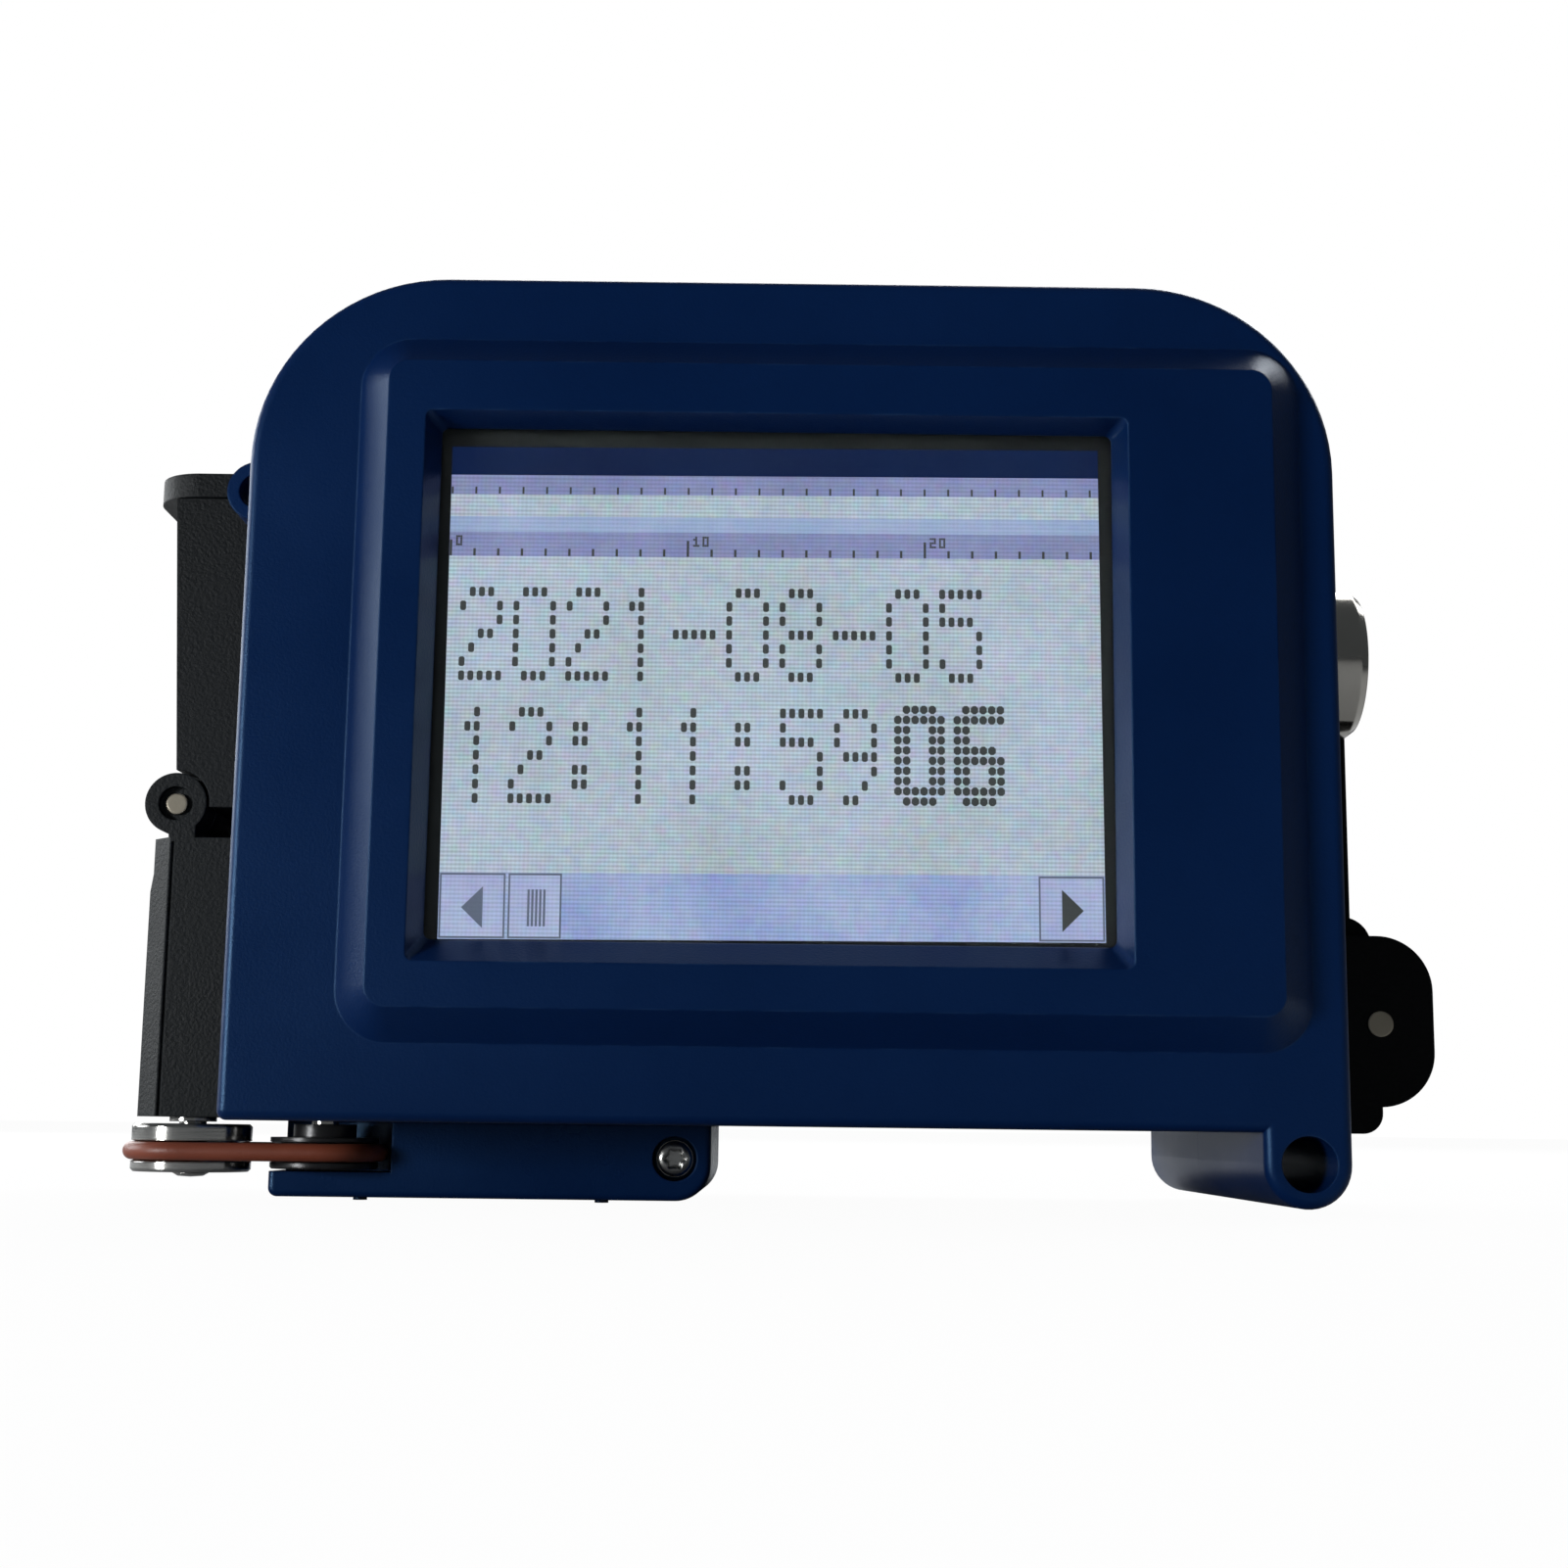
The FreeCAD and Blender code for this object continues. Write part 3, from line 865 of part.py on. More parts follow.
for thing in doc.Objects:
    if {"Invalid", "Error"} & set(thing.State):
        raise RuntimeError(f"{thing.Name} failed: {thing.State}")
os.makedirs("parts", exist_ok=True)
for part in SUB_PARTS:
    part.Label = part.Name
    if part.Shape.isNull() or not part.Shape.isValid():
        raise RuntimeError(f"{part.Label} has no valid shape")
for part in SUB_PARTS:
    part.Shape.exportStep(f"parts/{part.Label}.step")
print(f"{len(SUB_PARTS)} sub-parts written")
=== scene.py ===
"""Date code inkjet printer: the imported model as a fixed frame, with its finishes, its lit screen and
the head of its clamp screw. Metres; X to the right, Y to the back, Z up."""

import math

import bmesh
import bpy
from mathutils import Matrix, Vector


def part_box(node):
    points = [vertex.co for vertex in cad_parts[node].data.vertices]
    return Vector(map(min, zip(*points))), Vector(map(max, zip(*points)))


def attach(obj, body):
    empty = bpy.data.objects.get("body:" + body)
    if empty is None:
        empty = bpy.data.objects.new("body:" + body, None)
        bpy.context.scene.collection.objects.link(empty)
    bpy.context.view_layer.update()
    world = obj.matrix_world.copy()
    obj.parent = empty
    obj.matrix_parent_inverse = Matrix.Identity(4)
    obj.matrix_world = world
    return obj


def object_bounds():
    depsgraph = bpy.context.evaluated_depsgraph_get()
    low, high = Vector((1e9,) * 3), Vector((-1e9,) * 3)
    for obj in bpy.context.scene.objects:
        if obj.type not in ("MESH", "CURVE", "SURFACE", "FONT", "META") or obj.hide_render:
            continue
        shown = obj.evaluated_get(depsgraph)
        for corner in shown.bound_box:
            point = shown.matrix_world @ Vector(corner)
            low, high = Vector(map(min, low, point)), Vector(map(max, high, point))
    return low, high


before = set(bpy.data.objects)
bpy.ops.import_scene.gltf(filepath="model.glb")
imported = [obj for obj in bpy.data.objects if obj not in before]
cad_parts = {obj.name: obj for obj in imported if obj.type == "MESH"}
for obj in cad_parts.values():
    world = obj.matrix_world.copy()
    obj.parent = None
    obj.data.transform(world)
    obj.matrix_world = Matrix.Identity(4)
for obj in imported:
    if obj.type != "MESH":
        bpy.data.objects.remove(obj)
model_low, model_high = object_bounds()
MM = 0.001


# ------------------------------------------------------------------ front and rear cover, powder coat
# The two halves of the case are die-cast aluminium with a deep blue powder coat. The coat is baked on
# in one go, so it is satin, a little orange-peeled, and thinner and brighter on the sharp edges.

def effect(name, inputs, outputs):
    """An empty shader node group with named sockets; returns it with its input and output nodes."""
    group = bpy.data.node_groups.new(name, "ShaderNodeTree")
    for label, kind, value in inputs:
        group.interface.new_socket(label, in_out="INPUT", socket_type=kind).default_value = value
    for label, kind in outputs:
        group.interface.new_socket(label, in_out="OUTPUT", socket_type=kind)
    return group, group.nodes.new("NodeGroupInput"), group.nodes.new("NodeGroupOutput")


def add(tree, kind, links=(), **settings):
    """One node in a tree. links gives (input, output socket), and settings its plain values."""
    node = tree.nodes.new(kind)
    for key, value in settings.items():
        setattr(node, key, value)
    for socket, source in links:
        if isinstance(source, bpy.types.NodeSocket):
            tree.links.new(source, node.inputs[socket])
        else:
            node.inputs[socket].default_value = source
    return node


def place(tree, group, **values):
    """A copy of an effect in a material, with its own values."""
    node = tree.nodes.new("ShaderNodeGroup")
    node.node_tree = group
    for label, value in values.items():
        socket = node.inputs[label.replace("_", " ")]
        if isinstance(value, bpy.types.NodeSocket):
            tree.links.new(value, socket)
        else:
            socket.default_value = value
    return node


def between(tree, factor, low, high):
    """A colour between two colours by a mask."""
    node = add(tree, "ShaderNodeMix", data_type="RGBA")
    for socket, value in ((0, factor), (6, low), (7, high)):
        if isinstance(value, bpy.types.NodeSocket):
            tree.links.new(value, node.inputs[socket])
        else:
            node.inputs[socket].default_value = value
    return node.outputs[2]


def spread(tree, value, low, high):
    """A 0 to 1 mask stretched to the range from low to high."""
    return add(tree, "ShaderNodeMapRange", [("Value", value), ("To Min", low), ("To Max", high)]).outputs[0]


def mask(tree, value, start, end):
    """A 0 to 1 mask of where a value goes from start to end."""
    node = add(tree, "ShaderNodeMapRange", [("Value", value), ("From Min", start), ("From Max", end)])
    return node.outputs[0]


def one_over(tree, size):
    """The scale of a texture whose features have the given size."""
    return add(tree, "ShaderNodeMath", [(0, 1.0), (1, size)], operation="DIVIDE").outputs[0]


def new_material(name):
    """A material with its node tree and its Principled BSDF."""
    material = bpy.data.materials.new(name)
    material.use_nodes = True
    return material, material.node_tree, material.node_tree.nodes["Principled BSDF"]


def grain_effect():
    """Moulded or sprayed grain: fine pebbles, and a slow drift of tone over the whole piece."""
    group, given, out = effect(
        "surface_grain",
        [("Pebble Size", "NodeSocketFloat", 0.0004), ("Drift Size", "NodeSocketFloat", 0.02),
         ("Seed", "NodeSocketFloat", 0.0)],
        [("Height", "NodeSocketFloat"), ("Drift", "NodeSocketFloat")])
    place_on_piece = add(group, "ShaderNodeTexCoord").outputs["Object"]
    shifted = add(group, "ShaderNodeVectorMath", [(0, place_on_piece), (1, given.outputs["Seed"])])
    fine = one_over(group, given.outputs["Pebble Size"])
    wide = one_over(group, given.outputs["Drift Size"])
    pebble = add(group, "ShaderNodeTexNoise", [("Vector", shifted.outputs[0]), ("Scale", fine),
                                               ("Detail", 3.0), ("Roughness", 0.6)])
    drift = add(group, "ShaderNodeTexNoise", [("Vector", shifted.outputs[0]), ("Scale", wide),
                                              ("Detail", 4.0), ("Roughness", 0.55)])
    group.links.new(pebble.outputs[0], out.inputs["Height"])
    group.links.new(mask(group, drift.outputs[0], 0.3, 0.7), out.inputs["Drift"])
    return group


def wear_effect():
    """Edge wear: a mask that is bright on sharp outer edges, broken up, and the softened edge normal."""
    group, given, out = effect(
        "edge_wear",
        [("Width", "NodeSocketFloat", 0.0004), ("Breaks", "NodeSocketFloat", 0.004)],
        [("Mask", "NodeSocketFloat"), ("Soft Edge", "NodeSocketVector")])
    soft = add(group, "ShaderNodeBevel", [("Radius", given.outputs["Width"])], samples=4)
    face = add(group, "ShaderNodeNewGeometry")
    same = add(group, "ShaderNodeVectorMath", [(0, soft.outputs[0]), (1, face.outputs["Normal"])],
               operation="DOT_PRODUCT")
    edge = mask(group, same.outputs["Value"], 1.0, 0.86)
    where = add(group, "ShaderNodeTexCoord").outputs["Object"]
    patches = add(group, "ShaderNodeTexNoise", [("Vector", where), ("Detail", 5.0),
                                                ("Scale", one_over(group, given.outputs["Breaks"]))])
    broken = mask(group, patches.outputs[0], 0.42, 0.66)
    worn = add(group, "ShaderNodeMath", [(0, edge), (1, broken)], operation="MULTIPLY")
    group.links.new(worn.outputs[0], out.inputs["Mask"])
    group.links.new(soft.outputs[0], out.inputs["Soft Edge"])
    return group


GRAIN = grain_effect()
WEAR = wear_effect()
EDGE_WIDTH, EDGE_BREAKS = 0.3 * MM, 4 * MM
ROUGHNESS_DRIFT = 0.05


def finish_of(name, dark, light, worn, roughness, pebble=0.0004, bump=0.15, drift=0.02,
              metallic=0.0, gloss=0.5, worn_roughness=0.45, seed=0.0, sheen=(1, 1, 1)):
    """A material of grain, slow drift between two tones, and worn edges."""
    material, tree, shader = new_material(name)
    grain = place(tree, GRAIN, Pebble_Size=pebble, Drift_Size=drift, Seed=seed)
    wear = place(tree, WEAR, Width=EDGE_WIDTH, Breaks=EDGE_BREAKS)
    tone = between(tree, grain.outputs["Drift"], (*dark, 1), (*light, 1))
    tree.links.new(between(tree, wear.outputs["Mask"], tone, (*worn, 1)), shader.inputs["Base Color"])
    rough = spread(tree, grain.outputs["Drift"], roughness - ROUGHNESS_DRIFT, roughness + ROUGHNESS_DRIFT)
    rougher = add(tree, "ShaderNodeMix", [(0, wear.outputs["Mask"]), (2, rough), (3, worn_roughness)])
    tree.links.new(rougher.outputs[0], shader.inputs["Roughness"])
    relief = add(tree, "ShaderNodeBump", [("Strength", bump), ("Distance", pebble),
                                          ("Height", grain.outputs["Height"]),
                                          ("Normal", wear.outputs["Soft Edge"])])
    tree.links.new(relief.outputs[0], shader.inputs["Normal"])
    shader.inputs["Metallic"].default_value = metallic
    shader.inputs["Specular IOR Level"].default_value = gloss
    shader.inputs["Specular Tint"].default_value = (*sheen, 1)
    return material


def dress(material, *nodes):
    """Gives CAD nodes their finish."""
    for name in nodes:
        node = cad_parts[name]
        node.data.materials.clear()
        node.data.materials.append(material)


COAT_SHEEN = (0.32, 0.62, 1.0)
powder_blue = finish_of("powder_blue", (0.0010, 0.0135, 0.070), (0.0014, 0.0165, 0.084),
                        (0.02, 0.055, 0.15), 0.33, pebble=0.00028, bump=0.13, drift=0.03, gloss=0.42,
                        sheen=COAT_SHEEN)
dress(powder_blue, "front_cover", "rear_cover")

# ------------------------------------------------------------------ cover screws
# Four long stainless screws pull the two covers together from behind; their heads sit in shallow wells.
# The small screws of the screen, the boards, the nose, the bracket and the battery's frame are like them.
screw_steel = finish_of("screw_steel", (0.42, 0.42, 0.41), (0.55, 0.55, 0.54), (0.7, 0.7, 0.7), 0.28,
                        pebble=0.0002, bump=0.05, metallic=1.0, worn_roughness=0.2)
dress(screw_steel, "cover_screws", "display_screws", "board_screws", "nose_screws", "bracket_screws",
      "frame_screws")

# ------------------------------------------------------------------ screen, module and touch panel
# A 3.5 inch backlit screen in a folded metal can, behind a resistive touch panel of clear glass.
# The picture is drawn by the screen's own rows of dots, 320 across and 240 down.
module_low, module_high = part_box("display_module")
LEFT_MARGIN, RIGHT_MARGIN, TOP_MARGIN, BOTTOM_MARGIN = 3.5 * MM, 3.4 * MM, 6.3 * MM, 5.0 * MM
SCREEN_LEFT, SCREEN_RIGHT = module_low.x + LEFT_MARGIN, module_high.x - RIGHT_MARGIN
SCREEN_TOP, SCREEN_BOTTOM = module_high.z - TOP_MARGIN, module_low.z + BOTTOM_MARGIN
DOTS_ACROSS, DOTS_DOWN = 320, 240
LAYER = 0.012 * MM
SCREEN_TILT = math.radians(0.35)    # the cell sits a touch askew in its can

DIGITS = {
    "0": (" ###  ", "#   # ", "#   # ", "#   # ", "#   # ", "#   # ", " ###  "),
    "1": ("  #   ", " ##   ", "  #   ", "  #   ", "  #   ", "  #   ", "  #   "),
    "2": (" ###  ", "#   # ", "    # ", "  ##  ", " #    ", "#     ", "##### "),
    "5": ("##### ", "#     ", "####  ", "    # ", "    # ", "#   # ", " ###  "),
    "8": (" ###  ", "#   # ", "#   # ", " ###  ", "#   # ", "#   # ", " ###  "),
    "9": (" ###  ", "#   # ", "#   # ", " #### ", "    # ", "   #  ", " ##   "),
    "-": ("      ", "      ", "      ", "##### ", "      ", "      ", "      "),
    ":": ("      ", " ##   ", " ##   ", "      ", " ##   ", " ##   ", "      "),
}
BOLD_DIGITS = {
    "0": (" #### ", "######", "##  ##", "##  ##", "##  ##",
          "##  ##", "##  ##", "##  ##", "######", " #### "),
    "6": (" #####", "######", "##    ", "##    ", "##### ",
          "######", "##  ##", "##  ##", "######", " #### "),
}
SMALL_DIGITS = {
    "0": ("###", "# #", "# #", "# #", "###"),
    "1": (" # ", "## ", " # ", " # ", "###"),
    "2": ("###", "  #", "###", "#  ", "###"),
}


def screen_point(across, down, layer):
    """A point on the screen, in the screen's own dots, on one of the picture's thin layers."""
    right = (SCREEN_RIGHT - SCREEN_LEFT) * (across / DOTS_ACROSS - 0.5)
    up = (SCREEN_TOP - SCREEN_BOTTOM) * (0.5 - down / DOTS_DOWN)
    return Vector(((SCREEN_LEFT + SCREEN_RIGHT) / 2 + right - SCREEN_TILT * up,
                   module_low.y - LAYER * layer,
                   (SCREEN_TOP + SCREEN_BOTTOM) / 2 + up + SCREEN_TILT * right))


def add_plate(mesh, outline, layer, material_index):
    """A thin closed plate of the picture with the outline given in dots."""
    front = [mesh.verts.new(screen_point(u, v, layer + 1)) for u, v in outline]
    back = [mesh.verts.new(screen_point(u, v, layer)) for u, v in outline]
    count = len(outline)
    faces = [mesh.faces.new(front), mesh.faces.new(back[::-1])]
    for i in range(count):
        faces.append(mesh.faces.new((front[i], back[i], back[(i + 1) % count], front[(i + 1) % count])))
    for face in faces:
        face.material_index = material_index


def bar(left, top, right, bottom):
    """The outline of an upright rectangle, in dots."""
    return [(left, top), (right, top), (right, bottom), (left, bottom)]


def pill(centre_u, centre_v, width, height, corner):
    """A bar with cut corners, as one printed dot looks on the screen."""
    u, v, c = width / 2, height / 2, corner
    corners = ((-u + c, -v), (u - c, -v), (u, -v + c), (u, v - c),
               (u - c, v), (-u + c, v), (-u, v - c), (-u, -v + c))
    return [(centre_u + x, centre_v + y) for x, y in corners]


PAPER, TITLE, RULER, BAND, FOOT, KEY, INK, ARROW = range(8)
picture = bmesh.new()
add_plate(picture, bar(0, 0, DOTS_ACROSS, DOTS_DOWN), 0, PAPER)
for top, bottom, colour in ((-4.5, 9.8, TITLE), (9.8, 19.7, RULER), (31, 38.8, BAND), (38.8, 51.2, RULER),
                            (207.9, DOTS_DOWN, FOOT)):
    add_plate(picture, bar(0, top, DOTS_ACROSS, bottom), 1, colour)
for left, right in ((0.3, 31.9), (33.3, 59), (288.1, 319.6)):
    add_plate(picture, bar(left, 208.2, right, 239.6), 2, ARROW)
    add_plate(picture, bar(left + 0.9, 209.2, right - 0.9, 238.7), 3, KEY)
add_plate(picture, [(21.2, 214.6), (21.2, 234.8), (10.9, 224.8)], 4, ARROW)
add_plate(picture, [(299.2, 214.6), (309.6, 224.8), (299.2, 235)], 4, INK)
for line in range(5):
    add_plate(picture, bar(42.6 + 1.9 * line, 216, 43.7 + 1.9 * line, 233.8), 4, ARROW)
TICKS, FIRST_TICK, TICK_PITCH = 28, 0.7, 11.67
LONG_TICK_TOP, SHORT_TICK_TOP = 42.9, 47.3
for tick in range(TICKS):
    across = FIRST_TICK + TICK_PITCH * tick
    tick_top = LONG_TICK_TOP if tick % 10 == 0 else SHORT_TICK_TOP
    add_plate(picture, bar(across - 0.6, tick_top, across + 0.6, 51), 2, INK)
    add_plate(picture, bar(across - 0.5, 15.9, across + 0.5, 19.4), 2, INK)


def write_line(text, glyphs, left, top, pitch_u, pitch_v, advance, dot):
    """A line of dot-matrix figures from the left, one small plate for every dot."""
    for place_in_line, figure in enumerate(text):
        for row, dots in enumerate(glyphs[figure]):
            for column, mark in enumerate(dots):
                if mark == "#":
                    add_plate(picture, pill(left + advance * place_in_line + pitch_u * column,
                                            top + pitch_v * row, *dot), 2, INK)


DATE_DOT = (2.9, 4.8, 0.7)
write_line("2021-08-05", DIGITS, 7.6, 69.2, 4.5, 7.0, 26.1, DATE_DOT)
write_line("12:11:59", DIGITS, 6.9, 129.2, 4.5, 7.1, 26.3, DATE_DOT)
write_line("06", BOLD_DIGITS, 220.6, 127.0, 4.2, 5.02, 28.9, (3.7, 4.1, 1.1))
for label, left in (("0", 3.6), ("10", 120.4), ("20", 237.0)):
    write_line(label, SMALL_DIGITS, left, 41.2, 1.05, 1.05, 4.6, (1.0, 1.0, 0.2))


def new_piece(name, mesh):
    """An object in the scene from a finished bmesh."""
    data = bpy.data.meshes.new(name)
    mesh.to_mesh(data)
    mesh.free()
    piece = bpy.data.objects.new(name, data)
    bpy.context.scene.collection.objects.link(piece)
    return piece


screen_picture = new_piece("screen_picture", picture)


def dots_effect():
    """The screen's own dots: fine rows and columns, and a faint drift of tint across the glass."""
    group, given, out = effect(
        "screen_dots", [("Dot Pitch", "NodeSocketFloat", 0.00045)],
        [("Rows", "NodeSocketFloat"), ("Tint", "NodeSocketColor")])
    where = add(group, "ShaderNodeTexCoord").outputs["Object"]
    axes = add(group, "ShaderNodeSeparateXYZ", [(0, where)])
    waves = []
    for axis in ("X", "Z"):
        turns = add(group, "ShaderNodeMath", [(0, axes.outputs[axis]), (1, given.outputs["Dot Pitch"])],
                    operation="DIVIDE")
        angle = add(group, "ShaderNodeMath", [(0, turns.outputs[0]), (1, 2 * math.pi)],
                    operation="MULTIPLY")
        waves.append(add(group, "ShaderNodeMath", [(0, angle.outputs[0])], operation="SINE").outputs[0])
    column_share = 0.35    # columns show less than rows
    both = add(group, "ShaderNodeMath", [(0, waves[0]), (1, column_share), (2, waves[1])],
               operation="MULTIPLY_ADD")
    group.links.new(mask(group, both.outputs[0], -1 - column_share, 1 + column_share), out.inputs["Rows"])
    tint = add(group, "ShaderNodeTexNoise", [("Vector", where), ("Scale", 900.0), ("Detail", 2.0)])
    group.links.new(tint.outputs["Color"], out.inputs["Tint"])
    return group


SCREEN_DOTS = dots_effect()


def lit(name, first, second, ripple):
    """A colour shown by the backlit screen, drifting between two tones; ripple is how far its dots show."""
    material, tree, shader = new_material(name)
    shader.inputs["Base Color"].default_value = (0.01, 0.011, 0.012, 1)
    shader.inputs["Roughness"].default_value = 0.35
    dots = place(tree, SCREEN_DOTS)
    patches = place(tree, GRAIN, Pebble_Size=0.0006, Drift_Size=0.012)
    tone = between(tree, patches.outputs["Drift"], (*first, 1), (*second, 1))
    tinted = add(tree, "ShaderNodeMix", [(0, ripple), (6, tone), (7, dots.outputs["Tint"])],
                 data_type="RGBA", blend_type="OVERLAY")
    shade = spread(tree, dots.outputs["Rows"], 1.0 - ripple, 1.0 + ripple)
    shown = add(tree, "ShaderNodeVectorMath", [(0, tinted.outputs[2]), ("Scale", shade)], operation="SCALE")
    tree.links.new(shown.outputs[0], shader.inputs["Emission Color"])
    shader.inputs["Emission Strength"].default_value = 1.0
    return material


for material in (
        lit("screen_paper", (0.40, 0.48, 0.54), (0.46, 0.54, 0.66), 0.24),
        lit("screen_title", (0.0008, 0.008, 0.05), (0.0015, 0.012, 0.062), 0.05),
        lit("screen_ruler", (0.20, 0.23, 0.42), (0.27, 0.30, 0.52), 0.18),
        lit("screen_band", (0.28, 0.38, 0.60), (0.38, 0.46, 0.66), 0.12),
        lit("screen_foot", (0.27, 0.35, 0.62), (0.40, 0.48, 0.68), 0.2),
        lit("screen_key", (0.42, 0.50, 0.70), (0.36, 0.40, 0.64), 0.16),
        lit("screen_ink", (0.042, 0.046, 0.046), (0.055, 0.062, 0.062), 0.05),
        lit("screen_arrow", (0.10, 0.13, 0.18), (0.13, 0.15, 0.22), 0.05)):
    screen_picture.data.materials.append(material)
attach(screen_picture, "casing")

module_grey = finish_of("module_grey", (0.042, 0.048, 0.047), (0.055, 0.062, 0.06), (0.12, 0.12, 0.12), 0.4,
                        pebble=0.0003, bump=0.04)
dress(module_grey, "display_module")

panel_glass, glass_tree, glass_shader = new_material("panel_glass")
glass_shader.inputs["Transmission Weight"].default_value = 1.0
glass_shader.inputs["IOR"].default_value = 1.3
glass_grain = place(glass_tree, GRAIN, Pebble_Size=0.0005, Drift_Size=0.03)
glass_tree.links.new(between(glass_tree, glass_grain.outputs["Drift"], (0.93, 0.95, 0.96, 1),
                             (0.97, 0.98, 0.98, 1)), glass_shader.inputs["Base Color"])
glass_tree.links.new(spread(glass_tree, glass_grain.outputs["Drift"], 0.02, 0.06),
                     glass_shader.inputs["Roughness"])
dress(panel_glass, "touch_panel")

zinc = finish_of("zinc_sheet", (0.42, 0.42, 0.39), (0.6, 0.6, 0.56), (0.7, 0.7, 0.7), 0.42, pebble=0.0006,
                 bump=0.05, metallic=1.0)
dress(zinc, "display_plate", "display_spacers", "board_spacers")

# ------------------------------------------------------------------ boards and what is on them
# Glass-fibre boards with a green solder mask over the copper tracks; moulded black chips and buzzer.
# Two flat ribbons of amber film carry the signals.

def track_effect():
    """Copper tracks under solder mask: narrow lines between slanted cells."""
    group, given, out = effect(
        "board_tracks", [("Pitch", "NodeSocketFloat", 0.0012)], [("Track", "NodeSocketFloat")])
    where = add(group, "ShaderNodeTexCoord").outputs["Object"]
    cells = add(group, "ShaderNodeTexVoronoi",
                [("Vector", where), ("Scale", one_over(group, given.outputs["Pitch"]))],
                distance="MANHATTAN", feature="F1")
    group.links.new(mask(group, cells.outputs["Distance"], 0.45, 0.5), out.inputs["Track"])
    return group


TRACKS = track_effect()
board_green = finish_of("board_green", (0.004, 0.06, 0.018), (0.006, 0.09, 0.03), (0.3, 0.3, 0.15), 0.3,
                        pebble=0.0003, bump=0.03)
board_tree = board_green.node_tree
board_shader = board_tree.nodes["Principled BSDF"]
board_base = board_shader.inputs["Base Color"].links[0].from_socket
tracks = place(board_tree, TRACKS)
board_tree.links.new(between(board_tree, tracks.outputs["Track"], board_base, (0.02, 0.16, 0.05, 1)),
                     board_shader.inputs["Base Color"])
dress(board_green, "main_board", "contact_board", "encoder_board", "socket_board")

chip_epoxy = finish_of("chip_epoxy", (0.012, 0.012, 0.013), (0.02, 0.02, 0.021), (0.06, 0.06, 0.06), 0.55,
                       pebble=0.0002, bump=0.1)
dress(chip_epoxy, "board_parts", "buzzer")
ribbon_film = finish_of("ribbon_film", (0.35, 0.14, 0.03), (0.5, 0.22, 0.05), (0.6, 0.4, 0.2), 0.25,
                        pebble=0.0008, bump=0.04)
dress(ribbon_film, "display_ribbon", "head_ribbon")

# ------------------------------------------------------------------ ink cartridge and its bay
# A throw-away ink cartridge of moulded plastic, with a gold-plated nozzle foil and contact pads, in a
# moulded bay whose sprung pins press on the pads.
cartridge_skin = finish_of("cartridge_skin", (0.010, 0.010, 0.011), (0.017, 0.017, 0.018),
                           (0.06, 0.06, 0.06), 0.42, pebble=0.0005, bump=0.15)
dress(cartridge_skin, "cartridge_body")
lid_plastic = finish_of("lid_plastic", (0.09, 0.095, 0.10), (0.13, 0.135, 0.14), (0.25, 0.25, 0.25), 0.35)
dress(lid_plastic, "cartridge_lid")
gold_plate = finish_of("gold_plate", (0.72, 0.46, 0.14), (0.85, 0.6, 0.22), (0.9, 0.75, 0.45), 0.25,
                       pebble=0.0003, bump=0.04, metallic=1.0)
dress(gold_plate, "nozzle_plate", "cartridge_pads", "contact_pins", "battery_contacts")

# ------------------------------------------------------------------ print nose and photo sensor
# The nose is a glass-filled nylon moulding that guides the goods past the nozzles. Its mould was spark
# eroded, so it is evenly matt. A small reflex sensor looks out of its face to start each print.
nose_nylon = finish_of("nose_nylon", (0.0045, 0.0062, 0.0072), (0.0075, 0.0098, 0.011),
                       (0.03, 0.036, 0.04), 0.55, pebble=0.0004, bump=0.3, drift=0.015, gloss=0.25)
dress(nose_nylon, "print_nose", "cartridge_bay", "battery_tray")
sensor_black = finish_of("sensor_black", (0.006, 0.006, 0.007), (0.010, 0.010, 0.011),
                         (0.04, 0.04, 0.04), 0.35, pebble=0.0003, bump=0.1)
dress(sensor_black, "photo_sensor", "button_switch")
sensor_window = finish_of("sensor_window", (0.09, 0.003, 0.004), (0.14, 0.005, 0.006),
                          (0.3, 0.05, 0.05), 0.12, pebble=0.0005, bump=0.03, gloss=0.6)
dress(sensor_window, "sensor_lens")

# ------------------------------------------------------------------ latch lever
# A moulded lever on a steel pin that swings out of the way when the cartridge is changed. A rubber pad
# on its inside presses the cartridge forward into the nose.
lever_nylon = finish_of("lever_nylon", (0.0042, 0.0056, 0.0066), (0.007, 0.009, 0.0105),
                        (0.03, 0.036, 0.04), 0.55, pebble=0.0004, bump=0.28, drift=0.012, gloss=0.25,
                        seed=0.3)
dress(lever_nylon, "latch_lever")
pad_rubber = finish_of("pad_rubber", (0.006, 0.006, 0.006), (0.010, 0.010, 0.010), (0.03, 0.03, 0.03), 0.75,
                       pebble=0.0003, bump=0.3)
dress(pad_rubber, "lever_pad")
pin_steel = finish_of("pin_steel", (0.30, 0.27, 0.21), (0.40, 0.36, 0.29), (0.5, 0.46, 0.38), 0.38,
                      pebble=0.0002, bump=0.04, metallic=1.0)
dress(pin_steel, "lever_pin", "hatch_hinge_pin", "door_pin")

# ------------------------------------------------------------------ measuring roller, belt and encoder
# A ground steel roller runs on the goods and drives a small pulley by a round silicone belt. The pulley
# turns a magnet over a chip, which tells the printer how fast the goods go by.

